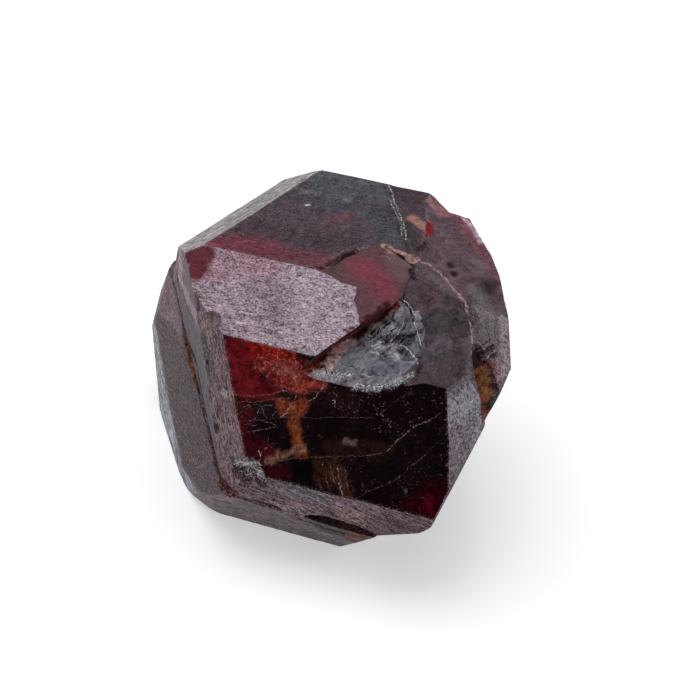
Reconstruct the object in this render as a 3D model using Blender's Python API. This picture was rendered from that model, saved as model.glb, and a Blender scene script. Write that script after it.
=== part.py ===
"""A broken garnet crystal: two blocks grown together, with chips and shell-shaped breaks."""
import math

import bmesh
import bpy
import numpy as np
from mathutils import Matrix, Vector

MM = 0.001

# Where growth began. Face distances and scoop centres below are measured from here, in millimetres.
GROWTH_CENTRE = Vector((3.37, 4.14, 13.60))
# The face (0 1 -1) is level on top. The axis [1 0 0] lies level, turned this far round from +X.
A_AXIS_TURN = 284.5
ROUGH_CUBE_SIDE = 90.0

# Faces of the upper block: Miller index and distance.
UPPER_FACES = {
    "front window": ((1.0, 1.035, -0.025), 17.26),
    "top": ((0, 1, -1), 14.67),
    "matt bevel": ((1, 2, -1), 15.70),
    "left bevel": ((1, 2, 1), 18.80),
    "bottom bevel": ((2, 1, 1), 21.24),
    "right bevel": ((2, 0.931, -0.916), 22.78),
    "back left bevel": ((-1, 2, -1), 18.47),
    "left side": ((0, 1, 1), 17.30),
    "back left": ((-1, 1, 0), 19.97),
    "back": ((-1, 0, -1), 17.72),
    "lower right bevel": ((2, -1.015, -0.848), 23.79),
    "right front": ((1, -0.04, -0.92), 23.81),
    "far side": ((-1, -1, 0), 10.5),
    "far bevel": ((-2, -1, -1), 12.4),
    "back bevel": ((-2, 1, -1), 22.6),
    "front": ((1, 0, 1), 21.60),
    "left front corner": ((1, 1, 2), 22.6),
}
# Broken and hidden sides that follow no index: turn from -Y towards +X, climb, distance.
UPPER_BREAKS = {
    "shoulder": (71.5, 59.7, 19.60),
    "ridge facet": (54.4, 41.2, 22.10),
    "right side, front": (94.9, -4.7, 14.53),
    "right side, middle": (97.9, -0.5, 14.96),
    "right side, back": (103.8, 0.1, 14.80),
    "under right": (73.1, -22.0, 15.26),
    "under front": (17.8, -56.9, 17.68),
    "under front corner": (49.7, -43.3, 18.60),
    "under right back": (110.0, -48.0, 14.2),
    "seam underside": (164.9, -73.1, -0.47),
}
# The lower block shows as a rim at the left and below. The crystal rests on it.
LOWER_FACES = {
    "front": ((0.96, -0.01, 1.0), 21.12),
    "rest": ((0, -1, 1), 13.6),
    "left front corner": ((1, 1, 2), 22.6),
    "back": ((-1, 0, -1), 17.2),
    "back left bevel": ((-1, 2, -1), 18.0),
    "back left": ((-1, 1, 0), 21.8),
    "far side": ((-1, -1, 0), 8.6),
    "hidden left": ((-1, 0, 1), 24.9),
    "far bevel": ((-2, -1, -1), 10.3),
    "back bevel": ((-2, 1, -1), 21.0),
    "front rest bevel": ((1, -1, 2), 20.0),
    "right front": ((1, -0.04, -0.92), 23.0),
    "lower right bevel": ((2, -1.015, -0.848), 23.0),
    "bottom bevel": ((2, 1, 1), 21.24),
}
LOWER_BREAKS = {
    "seam ledge": (-13.4, 72.1, 1.40),
    "left side": (-71.4, 12.6, 16.86),
    "left strip": (-74.8, 5.1, 18.77),
    "left lower strip": (-68.5, 1.1, 19.63),
    "corner sliver": (-73.6, 20.3, 16.49),
    "left back": (-92.4, 16.9, 21.1),
    "hidden left low": (-46.6, -41.8, 23.0),
    "right side": (95.0, -6.0, 13.4),
    "under right": (73.1, -22.0, 15.0),
    "under right front": (67.0, -38.6, 13.0),
    "under right back": (110.0, -48.0, 14.2),
}

# Pieces broken away. Each is whatever lies beyond all of its planes: turn, climb, distance.
CRACK_WALL = (38.9, -24.5, 3.54)
CORNER_END = (73.1, 6.8, 9.28)
CORNER_SIDE = (86.2, 29.4, 10.3)
ROSE_END = (-101.8, 27.2, 0.0)
WEDGES = {
    "right break": [(83.1, 45.2, 15.60), (129.7, 79.4, 14.67)],
    "fallen corner": [(-42.8, 58.6, 12.74), CORNER_SIDE, CORNER_END],
    "fallen cheek": [(-42.8, 74.3, 13.9), CORNER_SIDE, CORNER_END],
    "rose facet": [(34.4, 83.3, 14.78), (-43.7, 0.0, -2.0), ROSE_END],
    "rose slope": [(12.4, 63.5, 15.98), ROSE_END],
    "sunk top": [(96.3, 0.0, 5.75), (0.0, 90.0, 14.47)],
}

# Round chips: centre, radius, and where the scoop is flat, the thin way (turn, climb) and its ratio.
SCOOPS = {
    "seam gap": dict(centre=(-1.4, -23.6, -6.3), radius=4.4, thin=(-15.1, 73.1), ratio=0.17),
    "window corner chip": dict(centre=(-11.76, -18.99, -1.1), radius=1.7),
    "bevel chip": dict(centre=(-14.67, -8.89, 11.25), radius=1.4),
    "left bevel chip": dict(centre=(-14.53, -13.89, 0.34), radius=0.8),
    "right hollow": dict(centre=(14.7, -18.08, 9.32), radius=5.2, thin=(-50.3, 16.8), ratio=0.28),
    "crest chip": dict(centre=(6.64, -2.96, 15.27), radius=1.1),
    "break scallop, back": dict(centre=(12.47, 5.21, 17.13), radius=5.0, rings=4),
    "break scallop, middle": dict(centre=(14.34, -1.98, 19.07), radius=6.0, rings=4),
    "break scallop, front": dict(centre=(16.73, -8.15, 16.93), radius=5.0, rings=4),
}

# The shell-shaped break: a wide bowl with ripples spreading from where the blow fell.
SHELL_CENTRE = Vector((-3.57, -20.33, 28.26))
SHELL_RADIUS = 20.86
RIPPLE_START = Vector((5.3, -8.4, 13.4))
RIPPLE_HEIGHT = 0.10
RIPPLE_LENGTH = 1.9
SHELL_RINGS = 6

GARNET_COLOUR = (0.16, 0.035, 0.045, 1.0)


def direction_of_index(index):
    """World direction of a face normal from its Miller index."""
    up = Vector((0, 1, -1)).normalized()
    along = Vector((1, 0, 0))
    across = up.cross(along)
    normal = Vector(index).normalized()
    level = Vector((normal.dot(along), normal.dot(across), normal.dot(up)))
    return Matrix.Rotation(math.radians(A_AXIS_TURN), 3, "Z") @ level


def direction_of_angles(turn, climb):
    """World direction from a turn (0 is -Y, 90 is +X) and a climb above level."""
    turn, climb = math.radians(turn), math.radians(climb)
    flat = math.cos(climb)
    return Vector((flat * math.sin(turn), -flat * math.cos(turn), math.sin(climb)))


def clear_scene():
    for thing in list(bpy.data.objects):
        bpy.data.objects.remove(thing, do_unlink=True)


def new_collection(name):
    group = bpy.data.collections.new(name)
    bpy.context.scene.collection.children.link(group)
    return group


def rough_cube():
    """A cube of rough around the growth centre, to be cut down to size."""
    rough = bmesh.new()
    bmesh.ops.create_cube(rough, size=ROUGH_CUBE_SIDE * MM)
    bmesh.ops.translate(rough, verts=rough.verts, vec=GROWTH_CENTRE * MM)
    return rough


def cut_flat(rough, normal, distance, keep_beyond=False):
    """Saw along one plane, drop one side and close the cut with one face."""
    whole = rough.verts[:] + rough.edges[:] + rough.faces[:]
    cut = bmesh.ops.bisect_plane(
        rough, geom=whole, dist=MM * 0.0001,
        plane_co=(GROWTH_CENTRE + normal * distance) * MM, plane_no=normal,
        clear_outer=not keep_beyond, clear_inner=keep_beyond)
    rim = [piece for piece in cut["geom_cut"] if isinstance(piece, bmesh.types.BMEdge)]
    if rim:
        bmesh.ops.contextual_create(rough, geom=rim)
    bmesh.ops.recalc_face_normals(rough, faces=rough.faces)


def object_from(rough, name, group):
    mesh = bpy.data.meshes.new(name)
    rough.to_mesh(mesh)
    rough.free()
    thing = bpy.data.objects.new(name, mesh)
    group.objects.link(thing)
    return thing


def make_block(name, faces, breaks, group):
    """A block bounded by crystal faces and by odd broken sides."""
    rough = rough_cube()
    for index, distance in faces.values():
        cut_flat(rough, direction_of_index(index), distance)
    for turn, climb, distance in breaks.values():
        cut_flat(rough, direction_of_angles(turn, climb), distance)
    return object_from(rough, name, group)


def make_wedge(name, planes, group):
    """The piece that lies beyond all of the planes."""
    rough = rough_cube()
    for turn, climb, distance in planes:
        cut_flat(rough, direction_of_angles(turn, climb), distance, keep_beyond=True)
    return object_from(rough, name, group)


def make_scoop(name, group, centre, radius, rings=3, thin=None, ratio=1.0):
    """A ball, flattened one way if thin is given, that takes a round chip out."""
    rough = bmesh.new()
    bmesh.ops.create_icosphere(rough, subdivisions=rings, radius=radius * MM)
    if thin:
        turn_to = direction_of_angles(*thin).to_track_quat("Z", "Y").to_matrix()
        squash = Matrix.Diagonal((1.0, 1.0, ratio))
        bmesh.ops.transform(rough, matrix=(turn_to @ squash).to_4x4(), verts=rough.verts)
    bmesh.ops.translate(rough, verts=rough.verts, vec=(GROWTH_CENTRE + Vector(centre)) * MM)
    return object_from(rough, name, group)


def ripple(points):
    """Push the bowl in and out by a cosine of the distance from where the blow fell."""
    from_centre = points - np.array(SHELL_CENTRE)
    outward = from_centre / np.linalg.norm(from_centre, axis=1)[:, None]
    reach = np.linalg.norm(points - np.array(RIPPLE_START), axis=1)
    height = RIPPLE_HEIGHT * np.cos(2 * math.pi * reach / RIPPLE_LENGTH)
    return points + outward * height[:, None]


def make_shell(name, group):
    """The rippled bowl of the shell-shaped break, sawn off at the crack wall."""
    rough = bmesh.new()
    bmesh.ops.create_icosphere(rough, subdivisions=SHELL_RINGS, radius=SHELL_RADIUS)
    points = ripple(np.array([vert.co for vert in rough.verts]) + np.array(SHELL_CENTRE))
    for vert, point in zip(rough.verts, points):
        vert.co = (GROWTH_CENTRE + Vector(point)) * MM
    turn, climb, distance = CRACK_WALL
    cut_flat(rough, direction_of_angles(turn, climb), distance, keep_beyond=True)
    return object_from(rough, name, group)


def carve(body, tool, operation):
    """Join or subtract a tool with an exact Boolean, and keep the tool as a wire guide."""
    change = body.modifiers.new(tool.name, "BOOLEAN")
    change.operation = operation
    change.solver = "EXACT"
    change.object = tool
    tool.hide_render = True
    tool.display_type = "WIRE"


def garnet_material():
    material = bpy.data.materials.new("garnet")
    material.use_nodes = True
    surface = material.node_tree.nodes["Principled BSDF"]
    surface.inputs["Base Color"].default_value = GARNET_COLOUR
    surface.inputs["Roughness"].default_value = 0.35
    surface.inputs["Metallic"].default_value = 0.0
    return material


def build():
    clear_scene()
    crystal_group = new_collection("garnet crystal")
    tool_group = new_collection("cutters")
    crystal = make_block("garnet_crystal", UPPER_FACES, UPPER_BREAKS, crystal_group)
    crystal.data.materials.append(garnet_material())
    carve(crystal, make_block("lower block", LOWER_FACES, LOWER_BREAKS, tool_group), "UNION")
    for name, planes in WEDGES.items():
        carve(crystal, make_wedge(name, planes, tool_group), "DIFFERENCE")
    carve(crystal, make_shell("shell break", tool_group), "DIFFERENCE")
    for name, shape in SCOOPS.items():
        carve(crystal, make_scoop(name, tool_group, **shape), "DIFFERENCE")


build()
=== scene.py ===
import math

import bpy
import numpy as np
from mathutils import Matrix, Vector


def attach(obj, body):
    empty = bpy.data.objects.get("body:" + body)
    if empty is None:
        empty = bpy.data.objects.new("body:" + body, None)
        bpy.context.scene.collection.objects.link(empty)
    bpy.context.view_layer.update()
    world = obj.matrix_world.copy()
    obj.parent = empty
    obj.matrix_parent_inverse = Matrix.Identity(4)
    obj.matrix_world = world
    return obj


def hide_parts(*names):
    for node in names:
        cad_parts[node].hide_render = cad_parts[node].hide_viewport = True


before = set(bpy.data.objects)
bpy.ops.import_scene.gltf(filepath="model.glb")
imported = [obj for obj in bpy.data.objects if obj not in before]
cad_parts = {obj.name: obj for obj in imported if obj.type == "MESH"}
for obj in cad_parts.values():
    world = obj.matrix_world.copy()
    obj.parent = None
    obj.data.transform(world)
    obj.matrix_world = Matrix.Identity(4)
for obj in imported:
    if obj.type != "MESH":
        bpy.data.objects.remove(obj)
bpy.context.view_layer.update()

mm = 0.001
never = 1e3                   # reach of a ray that misses, in millimetres

# The crystal's faces, all measured in millimetres from the point where it began to grow.
# A direction with three numbers is a Miller index, one with two is (turn from -Y towards +X, climb).
crystal = dict(
    growthCentre=(3.37, 4.14, 13.60),
    aAxisTurn=284.5,          # the axis [1 0 0] lies level, turned this far round from +X
    gridSide=128,             # cells along each side of the cube that the surface grid starts from
    crowding=0.70,            # under 1 crowds the grid towards the side that the camera sees
    edgeSoftness=0.030,       # how far two faces blend where they meet
    slowSwell=0.06,           # how far a face rises and dips over some millimetres
    slowSize=3.5,
    quickSwell=0.025,         # and over less than one
    quickSize=0.7,
    upperFloor=0.47,          # the upper block starts this high on the seam's own axis
    seamAxis=(-15.1, 73.1),
    stepSlope=0.2,            # a triangle this steep to its ray and this tall joins two levels
    stepHeight=0.25,
    sharpAngle=24,            # degrees between two faces that count as a sharp edge
)

# how the grid is moved onto the creases: where the skin jumps this far, in millimetres, both ends go
creases = dict(halvings=6, jump=0.12, pull=0.97, hold=0.03, rounds=4)

upperFaces = {
    "window": ((1.0, 1.035, -0.025), 17.26),
    "top": ((0, 1, -1), 14.67),
    "matt": ((1, 2, -1), 15.70),
    "leftBevel": ((1, 2, 1), 18.80),
    "bottomBevel": ((2, 1, 1), 21.24),
    "rightBevel": ((2, 0.931, -0.916), 22.78),
    "paleBand": ((-1, 2, -1), 18.47),
    "leftSide": ((0, 1, 1), 17.30),
    "backLeft": ((-1, 1, 0), 19.97),
    "back": ((-1, 0, -1), 17.72),
    "lowerRightBevel": ((2, -1.015, -0.848), 23.79),
    "rightFront": ((1, -0.04, -0.92), 23.81),
    "farSide": ((-1, -1, 0), 10.5),
    "farBevel": ((-2, -1, -1), 12.4),
    "backBevel": ((-2, 1, -1), 22.6),
    "front": ((1, 0, 1), 21.60),
    "leftFrontCorner": ((1, 1, 2), 22.6),
    "shoulder": ((71.5, 59.7), 19.60),
    "ridgeFacet": ((54.4, 41.2), 22.10),
    "breakFront": ((94.9, -4.7), 14.53),
    "breakMiddle": ((97.9, -0.5), 14.96),
    "breakBack": ((103.8, 0.1), 14.80),
    "underRight": ((73.1, -22.0), 15.26),
    "underFront": ((17.8, -56.9), 17.68),
    "underFrontCorner": ((49.7, -43.3), 18.60),
    "underRightBack": ((110.0, -48.0), 14.2),
}

lowerFaces = {
    "lowFront": ((0.96, -0.01, 1.0), 21.12),
    "rest": ((0, -1, 1), 13.6),
    "lowFrontCorner": ((1, 1, 2), 22.6),
    "lowBack": ((-1, 0, -1), 17.2),
    "lowBackLeftBevel": ((-1, 2, -1), 18.0),
    "lowBackLeft": ((-1, 1, 0), 21.8),
    "lowFarSide": ((-1, -1, 0), 8.6),
    "hiddenLeft": ((-1, 0, 1), 24.9),
    "lowFarBevel": ((-2, -1, -1), 10.3),
    "lowBackBevel": ((-2, 1, -1), 21.0),
    "frontRestBevel": ((1, -1, 2), 20.0),
    "lowRightFront": ((1, -0.04, -0.92), 23.0),
    "lowLowerRightBevel": ((2, -1.015, -0.848), 23.0),
    "lowBottomBevel": ((2, 1, 1), 21.24),
    "leftDark": ((-71.4, 12.6), 16.86),
    "leftStrip": ((-74.8, 5.1), 18.77),
    "leftLowStrip": ((-68.5, 1.1), 19.63),
    "cornerSliver": ((-73.6, 20.3), 16.49),
    "leftBack": ((-92.4, 16.9), 21.1),
    "hiddenLeftLow": ((-46.6, -41.8), 23.0),
    "lowRightSide": ((95.0, -6.0), 13.4),
    "lowUnderRight": ((73.1, -22.0), 15.0),
    "lowUnderFront": ((67.0, -38.6), 13.0),
    "lowUnderBack": ((110.0, -48.0), 14.2),
    "ledge": ((-13.4, 72.1), 1.40),
}

# Pieces broken away: what lies beyond all of a wedge's planes is gone. A plane whose distance isn't
# above 0 only bounds the wedge.
cornerEnd = ((73.1, 6.8), 9.28)
cornerSide = ((86.2, 29.4), 10.3)
roseEnd = ((-101.8, 27.2), 0.0)
wedges = {
    "backBreak": [((83.1, 45.2), 15.60), ((129.7, 79.4), 14.67)],
    "cornerFloor": [((-42.8, 58.6), 12.74), cornerSide, cornerEnd],
    "cornerCheek": [((-42.8, 74.3), 13.9), cornerSide, cornerEnd],
    "roseFacet": [((34.4, 83.3), 14.80), ((-43.7, 0.0), -2.0), roseEnd],
    "roseSlope": [((12.4, 63.5), 15.98), roseEnd],
    "sunkTop": [((96.3, 0.0), 5.75), ((0.0, 90.0), 14.47)],
}

# height of the rough skin, and the size, seed and octaves of the noise that makes it
wedgeRoughness = dict(others=0.05, roseFacet=0.13, roseSlope=0.13, backBreak=0.15)
wedgeNoise = (1.3, 21, 3)
scoopRoughness = 0.22
scoopNoise = (0.9, 22, 3)

# Balls scooped out, flattened where thin is given, each with a rough skin of its own.
scoops = {
    "seamGap": dict(centre=(-1.4, -23.6, -6.3), radius=4.4, thin=(-15.1, 73.1), ratio=0.22),
    "windowCornerChip": dict(centre=(-11.76, -18.99, -1.1), radius=1.7),
    "bevelChip": dict(centre=(-14.67, -8.89, 11.25), radius=1.4),
    "leftBevelChip": dict(centre=(-14.53, -13.89, 0.34), radius=0.8),
    "rightHollow": dict(centre=(14.7, -18.08, 9.32), radius=5.2, thin=(-50.3, 16.8), ratio=0.28),
    "crestChip": dict(centre=(6.64, -2.96, 15.27), radius=1.1),
    "scallopBack": dict(centre=(12.47, 5.21, 17.13), radius=5.0),
    "scallopMiddle": dict(centre=(14.34, -1.98, 19.07), radius=6.0),
    "scallopFront": dict(centre=(16.73, -8.15, 16.93), radius=5.0),
}

# The shell-shaped break: a wide bowl sawn off at the crack wall, with broken ripples that spread from
# where the blow fell and small steps that run along the wall. A noise is its height and then its size,
# seed and octaves.
shell = dict(
    centre=(-3.57, -20.33, 28.26),
    radius=20.86,
    crackWall=((38.9, -24.5), 3.54),
    rippleStart=(5.3, -8.4, 13.4),
    rippleHeight=0.10,
    rippleLength=1.9,
    rippleWander=(0.35, 1.6, 31, 2),
    rippleLeast=0.35,         # share of the ripples' height left outside their patches
    rippleMost=0.65,          # and what the patches add
    patchNoise=(2.2, 32, 2),
    patchSpan=(-0.2, 0.4),
    stepHeight=0.16,
    stepLength=0.85,
    stepWander=(0.45, 1.3, 33, 3),
    stepFloor=(11.0, 13.5),   # the steps grow in over these heights
    stepReach=(2.5, 4.5),     # and fade out over these distances from the wall
    grit=(0.05, 0.6, 34, 2),
    wallRoughness=(0.95, 1.3, 35, 3),
)

# Small shell-shaped bites all over the broken right side.
brokenKinds = [
    "breakFront", "breakMiddle", "breakBack", "backBreak",
    "scallopBack", "scallopMiddle", "scallopFront",
]
bites = dict(
    seed=11,
    tries=6000,               # rays among which the places are found
    count=60,
    radii=(1.4, 4.0),
    depth=0.45,
    share=(0.3, 1.0),         # of that depth
    lean=0.35,                # how far a bite leans off its ray
    deepest=0.5,
    edgeFade=0.8,             # no bite beside an edge, full ones this far from it
)


# unit normal: a Miller index carried into the crystal's level frame, or a turn and a climb
def faceNormal(direction):
    if len(direction) == 2:
        turn, climb = np.radians(direction)
        return np.array([np.cos(climb) * np.sin(turn), -np.cos(climb) * np.cos(turn), np.sin(climb)])
    up = np.array([0, 1, -1]) / math.sqrt(2)
    along = np.array([1.0, 0, 0])
    index = np.array(direction, float)
    index /= np.linalg.norm(index)
    level = np.array([index @ along, index @ np.cross(up, along), index @ up])
    turn = math.radians(crystal["aAxisTurn"])
    spin = np.array([[math.cos(turn), -math.sin(turn), 0], [math.sin(turn), math.cos(turn), 0], [0, 0, 1]])
    return spin @ level


# vectors over their own lengths
def unit(vectors):
    return vectors / np.linalg.norm(vectors, axis=-1, keepdims=True)


# reach of flat faces: distance over the cosine between the ray and the normal, far where they part
def flatReach(rays, faces):
    normals = np.array([faceNormal(direction) for direction, _ in faces])
    distances = np.array([distance for _, distance in faces])
    cosine = rays @ normals.T
    return np.where(cosine > 1e-3, distances / np.maximum(cosine, 1e-3), never)


# reach of a ball, or of one flattened along an axis: both roots of the quadratic along the ray
def ballReach(rays, centre, radius, thin=None, ratio=1.0):
    squash = np.eye(3)
    if thin:
        axis = faceNormal(thin)
        squash += (1 / ratio - 1) * np.outer(axis, axis)
    ray = rays @ squash
    start = squash @ np.array(centre)
    a = np.sum(ray * ray, 1)
    b = ray @ start
    c = start @ start - radius * radius
    inside = b * b - a * c
    root = np.sqrt(np.maximum(inside, 0))
    return np.where(inside > 0, (b - root) / a, never), np.where(inside > 0, (b + root) / a, -never)


# soft minimum: minus the log of the summed exponentials, which rounds the edge by the softness
def softMin(reaches, softness):
    low = reaches.min(1, keepdims=True)
    return low[:, 0] - softness * np.log(np.exp(-(reaches - low) / softness).sum(1))


# large odd numbers that turn a lattice point into one that looks random, from 0 to the top one
hashing = dict(
    axes=np.array([73856093, 19349663, 83492791]),
    seed=2654435761,
    rounds=((13, 1274126177), (15, 668265263)),
    top=0x7FFFFFFF,
)


# value noise: smooth blend of hashed corner values on a lattice, summed over octaves, -1 to 1
def cloudNoise(points, size, seed=0, octaves=3):
    total, height, norm = np.zeros(len(points)), 1.0, 0.0
    for octave in range(octaves):
        place = points / size * 2 ** octave + 37.7 * (seed + octave)
        cell = np.floor(place).astype(np.int64)
        part = place - cell
        part = part * part * (3 - 2 * part)
        value = np.zeros(len(points))
        for corner in range(8):
            step = np.array([corner & 1, corner >> 1 & 1, corner >> 2 & 1])
            mixed = (cell + step) @ hashing["axes"] + hashing["seed"] * (seed + 1)
            for shift, factor in hashing["rounds"]:
                mixed = (mixed ^ (mixed >> shift)) * factor & hashing["top"]
            weight = np.prod(np.where(step == 1, part, 1 - part), axis=1)
            value += weight * (mixed / hashing["top"])
        total += height * (value * 2 - 1)
        norm += height
        height *= 0.5
    return total / norm


# 0 below low, 1 above high, a smooth S between
def smooth(low, high, value):
    part = np.clip((value - low) / (high - low), 0, 1)
    return part * part * (3 - 2 * part)


# value noise at the points where the rays reach the skin
def skinNoise(rays, reach, size, seed, octaves):
    return cloudNoise(rays * reach[:, None].clip(0, 40), size, seed, octaves)


# no growth face is quite flat: each one's reach swells and dips by its own slow and quick noise
def unevenReach(rays, faces, seed):
    reaches = flatReach(rays, faces)
    for column in range(len(faces)):
        reach = reaches[:, column]
        near = reach < reaches.min(1) + 2.5
        spots = rays[near] * reach[near, None]
        slow = crystal["slowSwell"] * cloudNoise(spots, crystal["slowSize"], seed + column, 2)
        quick = crystal["quickSwell"] * cloudNoise(spots, crystal["quickSize"], seed + column + 50, 2)
        reaches[near, column] = reach[near] + slow + quick
    return reaches


# where a ray enters and leaves a wedge: the farthest of its far planes, the nearest of its bounds
def wedgeReach(rays, planes):
    near = flatReach(rays, [plane for plane in planes if plane[1] > 0]).max(1)
    bounds = [(direction, distance) for direction, distance in planes if distance <= 0]
    far = np.full(len(rays), never)
    for direction, distance in bounds:
        cosine = rays @ faceNormal(direction)
        far = np.minimum(far, np.where(cosine < -1e-4, distance / np.minimum(cosine, -1e-4), never))
    return near, far


# reach of the shell-shaped bowl: a ball, plus a cosine of the distance from the blow where noise lets
# it through, plus a saw-tooth of the distance from the crack wall, strongest beside it
def shellReach(rays):
    near, far = ballReach(rays, shell["centre"], shell["radius"])
    spots = rays * near[:, None]

    def noise(name):
        height, size, seed, octaves = shell[name]
        return height * cloudNoise(spots, size, seed, octaves)

    reached = np.linalg.norm(spots - np.array(shell["rippleStart"]), axis=1)
    reached += noise("rippleWander")
    patch = smooth(*shell["patchSpan"], cloudNoise(spots, *shell["patchNoise"]))
    patch = shell["rippleLeast"] + shell["rippleMost"] * patch
    ripple = shell["rippleHeight"] * np.cos(2 * math.pi * reached / shell["rippleLength"]) * patch
    direction, distance = shell["crackWall"]
    beside = spots @ faceNormal(direction) - distance
    tooth = (beside + noise("stepWander")) / shell["stepLength"]
    high = smooth(*shell["stepFloor"], spots[:, 2])
    steps = shell["stepHeight"] * (tooth - np.floor(tooth)) * high
    steps *= 1 - smooth(*shell["stepReach"], beside)
    wall = flatReach(rays, [shell["crackWall"]])[:, 0]
    height, *wallNoise = shell["wallRoughness"]
    wall += height * skinNoise(rays, wall, *wallNoise)
    return near + ripple - steps + noise("grit"), far, wall


# centres and radii of the bites: seeded spots on the broken side, each ball sunk by a share of depth
def biteBalls():
    random = np.random.default_rng(bites["seed"])
    balls = []
    tried = unit(random.normal(0, 1, (bites["tries"], 3)))
    reach, kind, _ = crystalSurface(tried, withBites=False)
    spots = np.flatnonzero(np.isin(kind, kindNumbers(brokenKinds)))
    for spot in spots[:bites["count"]]:
        radius = random.uniform(*bites["radii"])
        sink = bites["depth"] * random.uniform(*bites["share"])
        lean = unit(tried[spot] + random.normal(0, bites["lean"], 3))
        centre = tried[spot] * (reach[spot] - sink) + radius * lean
        balls.append((centre, radius))
    return balls


# every kind of face, in the order of their numbers
kinds = [*upperFaces, *lowerFaces, *wedges, "shellBowl", "crackWall", *scoops, "step"]
biteList = []


# numbers of the kinds with these names
def kindNumbers(names):
    return [kinds.index(name) for name in names]


# The whole skin as a reach along each ray from the growth centre, the kind that each ray meets, and
# how far the next face is there, which is small along every edge.
def crystalSurface(rays, withBites=True):
    seamUp = faceNormal(crystal["seamAxis"])
    high = unevenReach(rays, list(upperFaces.values()), 1)
    low = unevenReach(rays, list(lowerFaces.values()), 101)
    highSkin = softMin(high, crystal["edgeSoftness"])
    lowSkin = softMin(low, crystal["edgeSoftness"])
    highSkin[(rays @ seamUp) * highSkin < crystal["upperFloor"]] = 0
    skin = np.maximum(highSkin, lowSkin)
    upper = highSkin > lowSkin
    kind = np.where(upper, high.argmin(1), len(upperFaces) + low.argmin(1))
    high.partition(1, axis=1)
    low.partition(1, axis=1)
    gap = np.where(upper, high[:, 1] - high[:, 0], low[:, 1] - low[:, 0])

    # what lies between near and far goes, and the skin falls to near
    def carve(name, near, far):
        gone = (near < skin) & (far > skin)
        gap[:] = np.where(gone, skin - near, np.minimum(gap, np.where(far > skin, near - skin, gap)))
        skin[gone] = near[gone]
        kind[gone] = kinds.index(name)
        return gone

    for name, planes in wedges.items():
        near, far = wedgeReach(rays, planes)
        height = wedgeRoughness.get(name, wedgeRoughness["others"])
        carve(name, near + height * skinNoise(rays, near, *wedgeNoise), far)
    direction, distance = shell["crackWall"]
    beyondWall = (rays * skin[:, None]) @ faceNormal(direction) > distance
    kind[beyondWall & (kind == kinds.index("matt"))] = kinds.index("cornerFloor")
    bowl, far, wall = shellReach(rays)
    carve("shellBowl", np.where(bowl >= wall, bowl, never), far)
    carve("crackWall", np.where(bowl < wall, wall, never), far)
    for name, ball in scoops.items():
        near, far = ballReach(rays, **ball)
        height = scoopRoughness * min(1.0, ball["radius"] / 3)
        carve(name, near + height * skinNoise(rays, near, *scoopNoise), far)
    if withBites:
        broken = np.isin(kind, kindNumbers(brokenKinds))
        spots = rays[broken]
        bitten = skin[broken]
        for centre, radius in biteList:
            near, far = ballReach(spots, centre, radius)
            hit = (near < bitten) & (far > bitten)
            bitten[hit] = near[hit]
        sunk = (skin[broken] - bitten) * smooth(0, bites["edgeFade"], gap[broken])
        skin[broken] -= bites["deepest"] * (1 - np.exp(-sunk / bites["deepest"]))
    return skin, kind, gap


# lattice points on a cube's skin, one copy of each, with the quads that join them
def cubeSkin(side):
    a, b = np.meshgrid(np.arange(side + 1), np.arange(side + 1), indexing="ij")
    ends = [(np.zeros_like(a), 0), (np.full_like(a, side), 1)]
    points, quads, start = [], [], 0
    cellA, cellB = np.meshgrid(np.arange(side), np.arange(side), indexing="ij")
    corner = (cellA * (side + 1) + cellB).ravel()
    ring = np.stack([corner, corner + side + 1, corner + side + 2, corner + 1], 1)
    for axis in range(3):
        for level, outer in ends:
            grid = np.stack(np.roll([level, a, b], axis, axis=0), -1).reshape(-1, 3)
            points.append(grid)
            quads.append((ring if outer else ring[:, ::-1]) + start)
            start += len(grid)
    points = np.concatenate(points)
    quads = np.concatenate(quads)
    keys = (points * [1, side + 1, (side + 1) ** 2]).sum(1)
    _, first, where = np.unique(keys, return_index=True, return_inverse=True)
    return points[first], where[quads]


# rays: equal-angle cube directions, turned to face the camera side and crowded towards it
def surfaceRays(side, crowding, towards):
    lattice, quads = cubeSkin(side)
    rays = unit(np.tan((lattice / side - 0.5) * math.pi / 2))
    disc = rays[:, :2] * (crowding / np.maximum(1 + rays[:, 2], 1e-9))[:, None]
    size = np.sum(disc * disc, 1)
    pole = rays[:, 2] < -0.999999
    size[pole], disc[pole] = 1, 0
    rays = np.concatenate([2 * disc, (1 - size)[:, None]], 1) / (1 + size)[:, None]
    rays[pole] = (0, 0, -1)
    level = unit(np.cross([0, 0, 1.0], towards))
    turn = np.stack([level, np.cross(towards, level), towards])
    return rays @ turn, quads


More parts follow.
